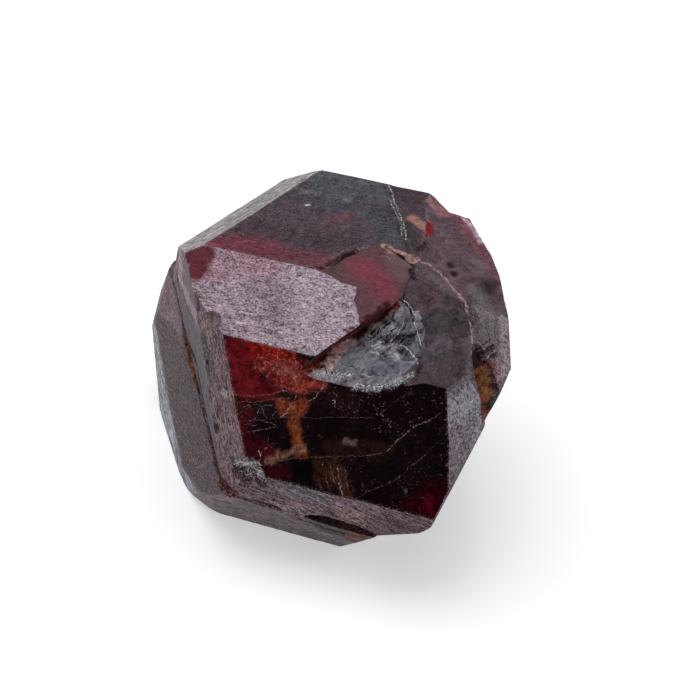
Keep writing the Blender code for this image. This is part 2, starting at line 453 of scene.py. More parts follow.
# Moves grid points onto the creases: on every grid edge whose two ends meet different kinds, halving
# finds where the kind changes, and the nearer end goes there. Where the skin jumps, both ends go.
def snapToCreases(rays, quads):
    reach, kind, _ = crystalSurface(rays)
    sides = np.concatenate([quads[:, [corner, (corner + 1) % 4]] for corner in range(4)])
    sides = np.unique(np.sort(sides, axis=1), axis=0)
    first, last = sides[kind[sides[:, 0]] != kind[sides[:, 1]]].T
    low, high = np.zeros(len(first)), np.ones(len(first))
    run = rays[last] - rays[first]
    for _ in range(creases["halvings"]):
        middle = (low + high) / 2
        same = crystalSurface(unit(rays[first] + middle[:, None] * run))[1] == kind[first]
        low, high = np.where(same, middle, low), np.where(same, high, middle)
    before, after = unit(rays[first] + low[:, None] * run), unit(rays[first] + high[:, None] * run)
    jump = abs(crystalSurface(before)[0] - crystalSurface(after)[0]) > creases["jump"]
    total, count = np.zeros_like(rays), np.zeros(len(rays))
    firstMoves, lastMoves = (low < 0.5) | jump, (low >= 0.5) | jump
    for ends, targets, moves in ((first, before, firstMoves), (last, after, lastMoves)):
        np.add.at(total, ends[moves], targets[moves])
        np.add.at(count, ends[moves], 1)
    moved = count > 0
    snapped = rays.copy()
    target = creases["pull"] * total[moved] / count[moved][:, None]
    snapped[moved] = unit(target + creases["hold"] * rays[moved])
    return snapped, moved


# splits each quad along the diagonal that joins two moved points, and takes back moves that fold
def splitQuads(rays, snapped, moved, quads):
    # six times the signed volume of each triangle's pyramid from the origin
    def spin(corners, places):
        a, b, c = (places[corners[:, index]] for index in range(3))
        return np.einsum("ij,ij->i", a, np.cross(b, c))

    for _ in range(creases["rounds"]):
        even = moved[quads[:, 0]] & moved[quads[:, 2]]
        odd = moved[quads[:, 1]] & moved[quads[:, 3]]
        across = np.linalg.norm(snapped[quads[:, 0]] - snapped[quads[:, 2]], axis=1)
        other = np.linalg.norm(snapped[quads[:, 1]] - snapped[quads[:, 3]], axis=1)
        turnIt = np.where(even == odd, other < across, odd)
        around = np.where(turnIt[:, None], quads[:, [1, 2, 3, 0]], quads)
        triangles = np.concatenate([around[:, [0, 1, 2]], around[:, [0, 2, 3]]])
        sign = np.sign(np.median(spin(triangles, rays)))
        folded = triangles[spin(triangles, snapped) * sign < 1e-9]
        if not len(folded):
            break
        back = np.unique(folded)
        snapped[back] = rays[back]
        moved[back] = False
    return triangles if sign > 0 else triangles[:, ::-1]


# closed mesh object at the origin, its place in its points, smooth but for its sharper edges
def meshObject(name, points, faces, sharpness=None):
    mesh = bpy.data.meshes.new(name)
    mesh.from_pydata(points, [], faces)
    mesh.shade_smooth()
    if sharpness:
        mesh.set_sharp_from_angle(angle=math.radians(sharpness))
    thing = bpy.data.objects.new(name, mesh)
    bpy.context.scene.collection.objects.link(thing)
    return thing


studio = dict(
    viewClimb=38.2,           # degrees the camera looks down
    viewDistance=222.2,       # millimetres from the growth centre
    lens=102.857,
    sensorWidth=36,
    pictureWidth=700,
    nearest=0.01,             # metres from the lens where the picture starts
    floorColour=(0.90, 0.90, 0.905, 1),
    floorGlow=0.52,
    floorSize=3.0,
    floorRoughness=0.8,
    floorShine=0.1,
    worldColour=(0.80, 0.88, 1.0, 1),
    worldStrength=0.12,
)

# place in metres, size, watts; each one looks at the crystal
softBoxes = {
    "overhead": ((-0.05, 0.10, 0.50), (0.5, 0.5), 1.75),
    "left": ((-0.5, 0.0, 0.25), (0.3, 0.4), 0.40),
    "right": ((0.5, 0.1, 0.25), (0.3, 0.4), 0.50),
}

# What each kind of face looks like: base colour, roughness, how strong each texture is, and the picture
# positions between which its growth lines run. The textures: streak is long growth lines, pit is short
# dark and pale dashes, swirl is wide soft clouds, mottle is small ones, dust is fine pink specks,
# web is pale threads, frost is crushed white glass.
traits = ("rough", "streak", "pit", "swirl", "mottle", "dust", "web", "frost")
plain = dict(colour=(0.115, 0.074, 0.083), rough=0.40, streak=0.35, pit=0.6, swirl=0.7, mottle=0.6,
             dust=0.0, web=0.0, frost=0.0, run=((300, 300), (340, 312)))
glassy = dict(colour=(0.138, 0.087, 0.103), rough=0.20, streak=0.0, pit=0.05, swirl=0.8, mottle=0.35)
cornerLook = dict(colour=(0.077, 0.053, 0.065), rough=0.34, streak=0.15, pit=0.15, swirl=1.3,
                  mottle=0.6)
skinKinds = {
    "window": dict(colour=(0.0075, 0.003, 0.0042), rough=0.14, streak=0.0, pit=0.0, mottle=0.6, dust=0.5,
        run=((300, 400), (340, 400))),
    "top": dict(colour=(0.091, 0.066, 0.081), rough=0.34, streak=0.25, pit=0.45, mottle=0.6,
        run=((250, 245), (310, 258))),
    "matt": dict(colour=(0.518, 0.394, 0.459), rough=0.5, streak=0.35, pit=1.0, swirl=0.35,
        run=((210, 300), (250, 309))),
    # the pale band's light grey is a painted reflection of the bright surroundings
    "paleBand": dict(colour=(0.361, 0.333, 0.337), rough=0.42, streak=1.0, pit=0.25,
        run=((200, 243), (300, 180))),
    "leftBevel": dict(colour=(0.181, 0.121, 0.129), streak=1.2, pit=0.9, mottle=0.6,
        run=((218, 360), (238, 450))),
    "bottomBevel": dict(colour=(0.187, 0.129, 0.145), streak=1.4, pit=0.9, mottle=0.8, swirl=0.6,
        run=((300, 500), (330, 514))),
    "rightBevel": dict(colour=(0.392, 0.37, 0.415), rough=0.5, streak=0.2, pit=0.9, mottle=0.5,
        run=((455, 380), (460, 470))),
    "leftSide": dict(colour=(0.055, 0.041, 0.051), streak=2.2, pit=0.8, mottle=0.6,
        run=((192, 335), (203, 390))),
    "leftDark": dict(colour=(0.052, 0.032, 0.038), streak=2.2, pit=0.9, swirl=0.8, mottle=1.0,
        run=((170, 360), (195, 400))),
    "cornerSliver": dict(colour=(0.172, 0.112, 0.133), streak=0.3, pit=1.0, mottle=0.8,
        run=((168, 300), (178, 325))),
    # light bluish grey of the left strips: painted reflection of the bright surroundings at a grazing angle
    "leftStrip": dict(colour=(0.264, 0.286, 0.322), streak=1.8, pit=0.6, run=((158, 380), (172, 440))),
    "leftLowStrip": dict(colour=(0.246, 0.266, 0.3), streak=1.8, pit=0.6, run=((158, 380), (172, 440))),
    "lowFront": dict(colour=(0.095, 0.076, 0.083), streak=2.0, pit=0.9, swirl=0.8, mottle=0.9,
        run=((230, 506), (290, 524))),
    "lowBottomBevel": dict(colour=(0.095, 0.084, 0.092), streak=2.0, pit=0.9, swirl=0.8, mottle=0.9,
        run=((230, 506), (290, 524))),
    "cornerFloor": cornerLook,
    "cornerCheek": cornerLook,
    "shoulder": dict(colour=(0.079, 0.055, 0.067), rough=0.3, streak=0.1, swirl=1.3, mottle=0.6),
    "ridgeFacet": dict(colour=(0.13, 0.108, 0.122), rough=0.42, streak=0.1, pit=0.9, swirl=0.5),
    "roseFacet": dict(colour=(0.143, 0.064, 0.072), rough=0.3, streak=0.15, pit=0.1, swirl=0.35,
        mottle=0.25),
    "roseSlope": dict(colour=(0.155, 0.069, 0.081), rough=0.3, streak=0.15, pit=0.1, swirl=0.35,
        mottle=0.25),
    # the shell bowl's bluish grey is a painted reflection on the glassy break
    "shellBowl": dict(colour=(0.2, 0.175, 0.207), rough=0.12, streak=0.0, pit=0.0, swirl=2.0, mottle=0.7),
    "crackWall": dict(colour=(0.108, 0.013, 0.012), rough=0.3, streak=0.0, pit=0.3, swirl=0.9, mottle=0.9),
    # light bluish grey: painted reflection of the bright surroundings at a grazing angle
    "underRight": dict(colour=(0.36, 0.37, 0.41), streak=0.3, rough=0.3),
    "rightHollow": dict(colour=(0.512, 0.176, 0.105), rough=0.25, streak=0.0, swirl=1.2, mottle=0.6),
    # near black: painted shade deep in the gap between the blocks
    "seamGap": dict(colour=(0.014, 0.0039, 0.0021), rough=0.6, streak=0.2, mottle=0.6),
    "sunkTop": dict(colour=(0.092, 0.062, 0.076), rough=0.3, streak=0.3, pit=0.1, swirl=0.3),
    "crestChip": dict(colour=(0.3, 0.173, 0.158), rough=0.3, streak=0.0, swirl=0.8, mottle=1.0),
    "ledge": dict(colour=(0.038, 0.015, 0.011), rough=0.6, streak=0.2, mottle=0.6),
    "bevelChip": dict(colour=(0.192, 0.138, 0.138), rough=0.35, mottle=1.0, swirl=0.8),
    "windowCornerChip": dict(colour=(0.075, 0.045, 0.05), rough=0.35, mottle=1.0, pit=0.6, frost=0.35),
    "leftBevelChip": dict(colour=(0.07, 0.045, 0.045), rough=0.4, mottle=1.0),
    "step": dict(colour=(0.05, 0.03, 0.032), rough=0.35, streak=0.2, mottle=0.6),
    **{name: glassy for name in brokenKinds},
}
topKinds = ["top", "sunkTop"]
shellKinds = ["shellBowl", "crackWall"]
roseKinds = ["roseFacet", "roseSlope"]
lowerKinds = list(lowerFaces) + ["step"]
unwornKinds = roseKinds + ["cornerFloor", "cornerCheek", "shoulder", "shellBowl"]


# one brush stroke: what it changes, by name, beside its path, half width, fade and colour
def brush(path, width, fade, colour=None, **changes):
    found = dict(path=path, width=width, fade=fade, **changes)
    return found if colour is None else dict(found, colour=colour)


# the same strokes, each kept to the kinds of face named first
def only(names, *brushed):
    return [dict(one, on=names) for one in brushed]


# Brush strokes over the base look: a path of picture positions, half width and fade in millimetres,
# and what the stroke changes: the colour, any texture, or its depth as a groove. A stroke keeps to
# the kinds of face named in on or before it in a group, where that matters.
strokes = [
    # top face; the blue-grey along its back is a painted reflection
    *only(["top"],
        brush([(330, 180), (400, 194)], 1.5, 3.0, (0.092, 0.099, 0.113)),
        brush([(300, 196), (340, 206), (385, 216), (392, 240)], 0.6, 1.6, (0.076, 0.076, 0.086),
            amount=0.9),
        brush([(205, 250), (262, 246)], 1.0, 2.2, (0.217, 0.046, 0.07), amount=0.95),
        brush([(262, 249), (322, 262)], 0.7, 1.7, (0.168, 0.043, 0.06), amount=0.85),
        brush([(255, 228), (300, 240), (350, 246)], 0.6, 1.8, (0.061, 0.046, 0.053), amount=0.7),
        brush([(332, 222), (348, 216)], 0.15, 1.1, (0.149, 0.066, 0.068), amount=0.75),
        brush([(300, 190), (322, 195), (348, 200)], 0.15, 0.5, (0.208, 0.195, 0.195), amount=0.5,
            wobble=2.0, pit=0.8)),
    *only(topKinds,
        brush([(405, 228), (411, 250)], 0.5, 0.7, (0.06, 0.054, 0.048), amount=0.9),
        brush([(396, 190), (418, 200)], 0.8, 1.2, (0.075, 0.05, 0.064), amount=0.7)),
    brush([(306, 205), (309, 205)], 0.1, 0.1, (0.75, 0.75, 0.75), wobble=0.1, on=["top"]),
    # pale band, its pale grey a painted reflection of the bright surroundings, with brown in its streaks
    *only(["paleBand"],
        brush([(190, 247), (215, 236), (243, 219)], 0.1, 0.45, (0.331, 0.27, 0.244), amount=0.8,
            wobble=1.2),
        brush([(185, 247), (205, 236), (232, 218), (262, 199)], 0.1, 0.35, (0.287, 0.261, 0.261),
            amount=0.8, wobble=1.2),
        brush([(172, 258), (206, 240)], 1.0, 2.2, (0.47, 0.41, 0.43), amount=0.75)),
    # matt face
    *only(["matt"],
        brush([(205, 270), (235, 262), (275, 266)], 0.7, 1.9, (0.473, 0.263, 0.311), amount=0.75),
        brush([(205, 300), (235, 322), (270, 332)], 1.2, 2.0, (0.44, 0.335, 0.385), streak=0.8, pit=0.9,
            amount=0.8),
        brush([(300, 292), (345, 300), (312, 340)], 1.6, 2.5, (0.574, 0.453, 0.533), pit=0.9, streak=0.1,
            amount=0.85),
        brush([(260, 290), (280, 305)], 0.8, 2.0, (0.359, 0.271, 0.32), amount=0.7)),
    # corner where the top, the matt face and the pale band meet, with its growth ridges
    brush([(190, 256), (206, 253), (197, 272), (189, 281)], 0.75, 0.45, (0.15, 0.027, 0.04), pit=0.1,
        streak=0.1, rough=0.3, on=["matt", "top"]),
    brush([(180, 258), (180, 280), (190, 302), (198, 322)], 0.6, 0.9, (0.321, 0.207, 0.22), amount=0.9,
        pit=0.3, wobble=0.8, on=["matt", "leftSide", "paleBand", "leftBevel"]),
    brush([(186, 255), (181, 266), (184, 284), (192, 302), (199, 318)], 0.05, 0.3, depth=-0.1,
        wobble=0.15),
    brush([(180, 258), (176, 270), (179, 288), (186, 304), (192, 320)], 0.05, 0.3, depth=-0.1,
        wobble=0.15),
    brush([(183, 256), (178, 268), (181, 286), (189, 303), (195, 320)], 0.03, 0.22, depth=0.08,
        wobble=0.15),
    brush([(196, 298), (198, 308)], 0.18, 0.25, (0.075, 0.062, 0.065), depth=0.1),
    brush([(202, 326), (209, 335)], 0.3, 0.4, (0.286, 0.195, 0.15), amount=0.9, mottle=0.9),
    # left bevel and the side behind its ridge
    brush([(198, 325), (206, 352), (209, 378)], 0.4, 0.8, (0.095, 0.092, 0.095), amount=0.9,
        on=["leftBevel", "leftSide"]),
    brush([(224, 393), (232, 396)], 0.3, 0.4, (0.26, 0.2, 0.17), frost=0.5, mottle=1.0, on=["leftBevel"]),
    brush([(214, 414), (216, 430)], 0.14, 0.2, (0.035, 0.022, 0.022), depth=0.12, wobble=1.5),
    brush([(207, 361), (208, 363)], 0.12, 0.12, (0.018, 0.01, 0.01), depth=0.12, wobble=0.2),
    *only(["bottomBevel"],
        brush([(292, 489), (318, 497)], 0.5, 0.9, (0.115, 0.13, 0.14), amount=0.8),
        brush([(340, 512), (362, 522)], 0.4, 0.8, (0.23, 0.15, 0.14), amount=0.8),
        brush([(255, 478), (272, 488)], 0.4, 0.9, (0.13, 0.13, 0.135), amount=0.7),
        brush([(300, 510), (318, 516)], 0.3, 0.8, (0.21, 0.15, 0.15), amount=0.7),
        brush([(385, 528), (408, 527)], 0.7, 1.6, (0.088, 0.056, 0.066), amount=0.9)),
    brush([(240, 512), (262, 516), (288, 524)], 0.3, 0.9, (0.12, 0.075, 0.072), amount=0.8),
    brush([(258, 520), (285, 528)], 0.2, 0.7, (0.052, 0.05, 0.056), amount=0.8),
    brush([(163, 372), (168, 395), (174, 418)], 0.05, 0.3, (0.17, 0.08, 0.06), amount=0.6, wobble=1.5),
    brush([(204, 392), (210, 415), (214, 436)], 0.25, 0.4, (0.06, 0.05, 0.055), amount=0.8, pit=1.4,
        wobble=1.2, on=["leftBevel"]),
    # window: the glow where light comes through, dark where it is deep
    *only(["window"],
        brush([(240, 352), (240, 388)], 1.3, 1.0, (0.131, 0.0075, 0.011), mottle=1.0, dust=0.25),
        brush([(240, 350), (262, 388)], 1.1, 0.9, (0.135, 0.0075, 0.011), mottle=1.0),
        brush([(270, 360), (300, 378)], 1.5, 0.9, (0.17, 0.014, 0.011), mottle=1.6, web=0.75),
        brush([(252, 349), (272, 350), (290, 356)], 0.35, 1.0, (0.227, 0.0091, 0.0054), mottle=0.9),
        brush([(278, 368), (294, 372)], 0.4, 0.8, (0.272, 0.065, 0.055), amount=0.7, web=0.9, mottle=1.2,
            wobble=1.0),
        brush([(298, 385), (322, 386)], 0.4, 0.6, (0.255, 0.036, 0.022), mottle=1.0),
        brush([(262, 377), (270, 388)], 0.3, 0.6, (0.048, 0.003, 0.006), amount=0.8),
        brush([(237, 405), (246, 412), (240, 425)], 0.7, 0.8, (0.054, 0.005, 0.008), mottle=0.9),
        brush([(262, 409), (278, 409)], 0.5, 0.6, (0.014, 0.009, 0.01), mottle=0.6),
        brush([(246, 444), (264, 452)], 1.0, 0.8, (0.051, 0.0036, 0.006), mottle=1.0),
        brush([(275, 436), (288, 446)], 0.6, 0.8, (0.008, 0.003, 0.005)),
        brush([(284, 408), (296, 412), (304, 405)], 0.5, 0.6, (0.187, 0.031, 0.011), mottle=1.0, web=0.4,
            wobble=0.8),
        brush([(294, 416), (297, 436), (302, 456)], 0.4, 0.45, (0.2, 0.046, 0.016), mottle=1.1, wobble=1.0),
        brush([(270, 462), (292, 452), (302, 448)], 0.15, 0.5, (0.256, 0.105, 0.077), amount=0.85,
            mottle=1.2, web=0.8, wobble=1.2),
        brush([(272, 470), (288, 473)], 0.4, 0.7, (0.039, 0.0026, 0.0065)),
        brush([(300, 470), (312, 472)], 0.8, 0.9, (0.0025, 0.0012, 0.0016), dust=0.1),
        brush([(318, 462), (328, 492)], 0.5, 0.7, (0.026, 0.007, 0.0048), mottle=1.6, wobble=1.2),
        brush([(334, 462), (344, 494)], 0.4, 0.8, (0.045, 0.015, 0.0078), mottle=1.8, dust=1.2, wobble=1.2),
        brush([(330, 447), (385, 449)], 0.5, 0.8, (0.019, 0.0067, 0.005), amount=0.85, mottle=1.4),
        brush([(345, 441), (353, 443)], 0.25, 0.25, (0.16, 0.09, 0.08), amount=0.8, mottle=1.6, wobble=1.2),
        brush([(320, 400), (350, 404)], 0.8, 1.2, (0.014, 0.004, 0.005), mottle=1.2, dust=0.8),
        brush([(378, 402), (408, 412), (385, 420)], 1.0, 1.5, (0.0084, 0.003, 0.004), dust=2.0),
        brush([(432, 392), (443, 420), (445, 460)], 0.4, 1.0, dust=1.8),
        brush([(412, 512), (430, 512), (438, 496)], 0.5, 2.0, (0.024, 0.0006, 0.0025), dust=0.2,
            mottle=0.9),
        brush([(428, 500), (432, 510)], 0.1, 0.9, (0.085, 0.001, 0.008), amount=0.9, mottle=1.2)),
    brush([(236, 472), (257, 474)], 0.5, 0.4, (0.03, 0.008, 0.012), depth=0.2, mottle=0.8, wobble=0.8),
    brush([(236, 464), (246, 463), (258, 466), (260, 474)], 0.05, 0.45, (0.26, 0.21, 0.2), amount=0.75,
        frost=0.9, web=1.0, wobble=1.8),
    brush([(232, 458), (238, 474), (248, 482)], 0.1, 0.35, (0.022, 0.006, 0.008), wobble=1.2),
    brush([(250, 474), (262, 484)], 0.15, 0.4, (0.03, 0.008, 0.01), wobble=1.4),
    brush([(405, 491), (406, 492)], 0.07, 0.14, (0.45, 0.5, 0.48), frost=0.4, wobble=0.6, on=["window"]),
    # rose facet
    *only(roseKinds,
        brush([(332, 270), (352, 262)], 0.5, 0.8, (0.106, 0.065, 0.055), amount=0.9),
        brush([(360, 266), (378, 280), (385, 294)], 0.7, 1.5, (0.239, 0.052, 0.074), amount=0.95),
        brush([(397, 258), (408, 275)], 0.6, 1.0, (0.168, 0.1, 0.107), amount=0.9),
        brush([(358, 305), (372, 308)], 0.6, 1.0, (0.155, 0.064, 0.075), amount=0.9)),
    # rusty crack between the top and the rose facet, and its chipped crest
    brush([(322, 268), (332, 263), (345, 255), (356, 251)], 0.14, 0.2, (0.028, 0.01, 0.01), depth=0.25,
        rough=0.6, wobble=1.0, mottle=1.0),
    brush([(356, 250), (370, 246), (383, 244)], 0.06, 0.2, (0.14, 0.09, 0.06), wobble=1.2, mottle=1.0),
    brush([(382, 246), (388, 247)], 0.12, 0.16, (0.55, 0.47, 0.44), wobble=0.8, mottle=0.5),
    brush([(388, 247), (398, 252), (408, 256), (416, 262)], 0.14, 0.25, (0.405, 0.203, 0.169), wobble=1.2,
        mottle=1.3, frost=0.25),
    brush([(412, 270), (414, 278)], 0.18, 0.18, (0.018, 0.01, 0.012), depth=0.12, wobble=0.8),
    # crack wall and what the shell-shaped break shows along it
    *only(shellKinds + ["window"],
        brush([(316, 364), (335, 350), (352, 338), (372, 325), (396, 306)], 0.35, 0.5,
            (0.114, 0.012, 0.011), mottle=1.2),
        brush([(312, 358), (330, 345), (345, 337), (366, 322), (380, 312), (398, 298)], 0.1, 0.35,
            (0.012, 0.003, 0.004), wobble=1.2)),
    brush([(376, 320), (388, 308)], 0.12, 0.3, (0.191, 0.022, 0.011), wobble=1.2, on=shellKinds),
    brush([(328, 366), (338, 356), (350, 345)], 0.7, 0.4, (0.95, 0.55, 0.55), amount=0.95, mottle=0.8,
        on=shellKinds + ["window"]),
    # greys on the shell-shaped break are painted reflection, its pale spots painted highlights
    *only(["shellBowl"],
        brush([(345, 367), (352, 352), (364, 360)], 0.9, 0.9, (0.23, 0.235, 0.262), mottle=0.6, swirl=0.8),
        brush([(370, 330), (384, 318), (392, 308)], 0.3, 0.5, (0.3, 0.285, 0.245), mottle=0.8),
        brush([(372, 333), (386, 321)], 0.05, 0.22, (0.012, 0.008, 0.009), depth=0.15, wobble=0.3),
        brush([(392, 330), (402, 312)], 0.25, 0.5, (0.29, 0.275, 0.3), mottle=0.8),
        brush([(386, 342), (402, 334)], 0.2, 0.5, (0.045, 0.033, 0.036), mottle=0.8),
        brush([(404, 346), (412, 356)], 0.25, 0.6, (0.06, 0.05, 0.062), amount=0.8),
        brush([(370, 372), (388, 368), (404, 366)], 0.3, 0.8, (0.13, 0.118, 0.155), amount=0.8),
        brush([(392, 354), (397, 357)], 0.25, 0.4, (0.45, 0.435, 0.435), amount=0.8, depth=-0.1),
        brush([(402, 322), (412, 350)], 0.5, 0.6, (0.119, 0.112, 0.126), amount=0.8)),
    brush([(320, 358), (336, 346), (352, 334), (370, 322), (386, 311), (396, 303)], 0.42, 0.3,
        (0.14, 0.016, 0.015), mottle=1.4, wobble=1.1, on=shellKinds),
    brush([(316, 361), (330, 349), (345, 338), (360, 326), (372, 316), (388, 305)], 0.2, 0.25,
        (0.06, 0.007, 0.008), mottle=1.2, wobble=1.6, on=["matt"] + roseKinds),
    *only(shellKinds,
        brush([(330, 349), (340, 342), (348, 337)], 0.08, 0.2, (0.022, 0.004, 0.005), wobble=1.4),
        brush([(378, 317), (392, 306)], 0.1, 0.2, (0.25, 0.028, 0.016), mottle=1.2, wobble=1.0),
        brush([(302, 371), (312, 369), (318, 366)], 0.5, 0.35, (0.3, 0.055, 0.035), mottle=1.3, web=0.5,
            wobble=0.8),
        brush([(326, 366), (333, 357), (343, 348)], 0.45, 0.35, (0.66, 0.37, 0.36), amount=0.95,
            mottle=0.9)),
    # crushed white edge between the break and the window
    brush([(316, 372), (326, 374)], 0.3, 0.4, (0.33, 0.27, 0.26), frost=1.0, mottle=1.0, wobble=1.4),
    brush([(330, 378), (347, 381), (360, 386), (374, 389), (388, 385), (400, 380), (414, 373)], 0.06, 0.26,
        (0.2, 0.2, 0.22), frost=1.3, mottle=1.0, wobble=1.4, rough=0.5),
    brush([(331, 374), (340, 377), (350, 378)], 0.25, 0.3, (0.2, 0.2, 0.22), frost=1.3, mottle=1.0,
        wobble=1.4),
    # dull facets at the right of the break
    *only(["rightBevel"],
        brush([(448, 384), (458, 374), (468, 368)], 0.6, 1.8, (0.115, 0.09, 0.105), amount=0.8),
        brush([(458, 438), (452, 488)], 0.8, 1.4, (0.25, 0.2, 0.23), amount=0.9)),
    brush([(432, 288), (428, 300)], 0.4, 1.2, (0.1, 0.055, 0.066), amount=0.7,
        on=["cornerFloor", "cornerCheek"]),
    *only(["cornerFloor", "shoulder"],
        brush([(430, 322), (446, 322)], 0.6, 1.4, (0.047, 0.041, 0.047), amount=0.8),
        brush([(425, 350), (448, 345)], 0.6, 1.4, (0.109, 0.087, 0.104), amount=0.8)),
    # right side break
    brush([(412, 218), (422, 226), (427, 236)], 0.4, 0.22, (0.405, 0.195, 0.165), mottle=0.5, wobble=0.5),
    brush([(431, 222), (427, 236)], 0.3, 0.3, (0.302, 0.023, 0.02), mottle=0.8, wobble=0.8),
    brush([(426, 242), (419, 250)], 0.15, 0.25, (0.058, 0.0078, 0.012), wobble=0.6),
    brush([(432, 203), (440, 206), (446, 212)], 0.55, 0.4, (0.424, 0.208, 0.2), mottle=0.5),
    brush([(440, 214), (452, 212), (460, 209)], 0.25, 0.35, (0.384, 0.152, 0.176), mottle=0.6),
    brush([(459, 218), (468, 230), (474, 243)], 0.45, 0.7, (0.205, 0.072, 0.092), mottle=0.7, wobble=0.9),
    # painted highlight along the edge of the pink flank
    brush([(464, 212), (473, 228), (481, 242)], 0.18, 0.25, (0.6, 0.45, 0.47), wobble=0.3),
    brush([(482, 250), (492, 258), (499, 275)], 0.4, 0.8, (0.195, 0.082, 0.098), mottle=0.7, wobble=1.0),
    brush([(449, 264), (451, 266)], 0.2, 0.25, (0.03, 0.014, 0.02), wobble=0.6),
    brush([(454, 273), (455, 276)], 0.2, 0.25, (0.03, 0.014, 0.02), wobble=0.6),
    brush([(470, 280), (488, 286)], 0.5, 0.9, (0.074, 0.048, 0.06), amount=0.8),
    brush([(478, 300), (492, 335)], 0.9, 1.4, (0.2, 0.173, 0.186), amount=0.8),
    brush([(503, 320), (506, 370)], 0.5, 0.4, (0.35, 0.296, 0.328), streak=0.6, swirl=0.3, wobble=0.3),
    brush([(499, 358), (500, 382)], 0.25, 0.3, (0.338, 0.195, 0.195), wobble=0.5),
    brush([(474, 345), (478, 362)], 0.6, 0.5, (0.105, 0.066, 0.072), mottle=1.2, wobble=0.8,
        on=["rightHollow"]),
    brush([(477, 345), (496, 352)], 0.25, 0.5, (0.168, 0.133, 0.14), wobble=1.2),
    brush([(482, 352), (493, 346)], 0.15, 0.3, (0.03, 0.01, 0.012), wobble=0.6),
    brush([(484, 360), (495, 352)], 0.15, 0.3, (0.035, 0.012, 0.013), wobble=0.6),
    brush([(482, 372), (485, 395)], 0.3, 0.4, (0.702, 0.281, 0.102), wobble=0.8),
    brush([(491, 364), (492, 382)], 0.3, 0.3, (0.17, 0.021, 0.013), wobble=0.8),
    brush([(486, 403), (490, 409)], 0.2, 0.3, (0.012, 0.008, 0.008), wobble=0.6),
    brush([(487, 414), (489, 422)], 0.2, 0.3, (0.384, 0.22, 0.056), wobble=0.6),
    brush([(500, 392), (497, 402)], 0.5, 0.5, (0.147, 0.151, 0.168), wobble=0.4),
    # rust in the seam between the two blocks, with painted shade where the gap opens under the upper block
    brush([(171, 272), (176, 290), (180, 310), (187, 340), (196, 362), (206, 414), (214, 455), (222, 490)],
        0.14, 0.22, (0.035, 0.011, 0.006), depth=0.35, rough=0.65, wobble=0.4),
    brush([(184, 336), (190, 358), (198, 384)], 0.42, 0.3, (0.095, 0.038, 0.013), rough=0.65, wobble=1.2,
        mottle=1.8, pit=0.6),
    brush([(222, 486), (228, 492), (240, 499), (262, 504), (282, 512), (300, 519)], 0.1, 0.25,
        (0.04, 0.009, 0.004), depth=0.25, rough=0.65, wobble=0.6),
    brush([(221, 482), (232, 494)], 0.45, 0.35, (0.07, 0.01, 0.004), rough=0.6, wobble=1.0),
    brush([(306, 520), (325, 525), (345, 531), (360, 534)], 0.05, 0.2, (0.06, 0.026, 0.012), wobble=0.8),
    brush([(309, 522), (322, 527), (338, 532), (352, 536), (366, 537)], 0.18, 0.28, (0.014, 0.006, 0.0045),
        depth=0.1, mottle=0.8, wobble=0.4),
    # near black: painted shade in the opened gap, then dark red at its end
    *only(lowerKinds,
        brush([(325, 528), (338, 533), (352, 536)], 0.95, 0.45, (0.014, 0.005, 0.005), wobble=0.5),
        brush([(353, 540), (364, 537)], 0.9, 0.6, (0.085, 0.016, 0.013), mottle=1.4, wobble=0.8)),
    brush([(306, 519), (322, 524), (340, 529), (356, 533)], 0.03, 0.14, (0.085, 0.042, 0.015), wobble=0.9,
        mottle=1.4),
    brush([(290, 516), (306, 524)], 0.3, 0.5, (0.105, 0.055, 0.045), amount=0.7),
]
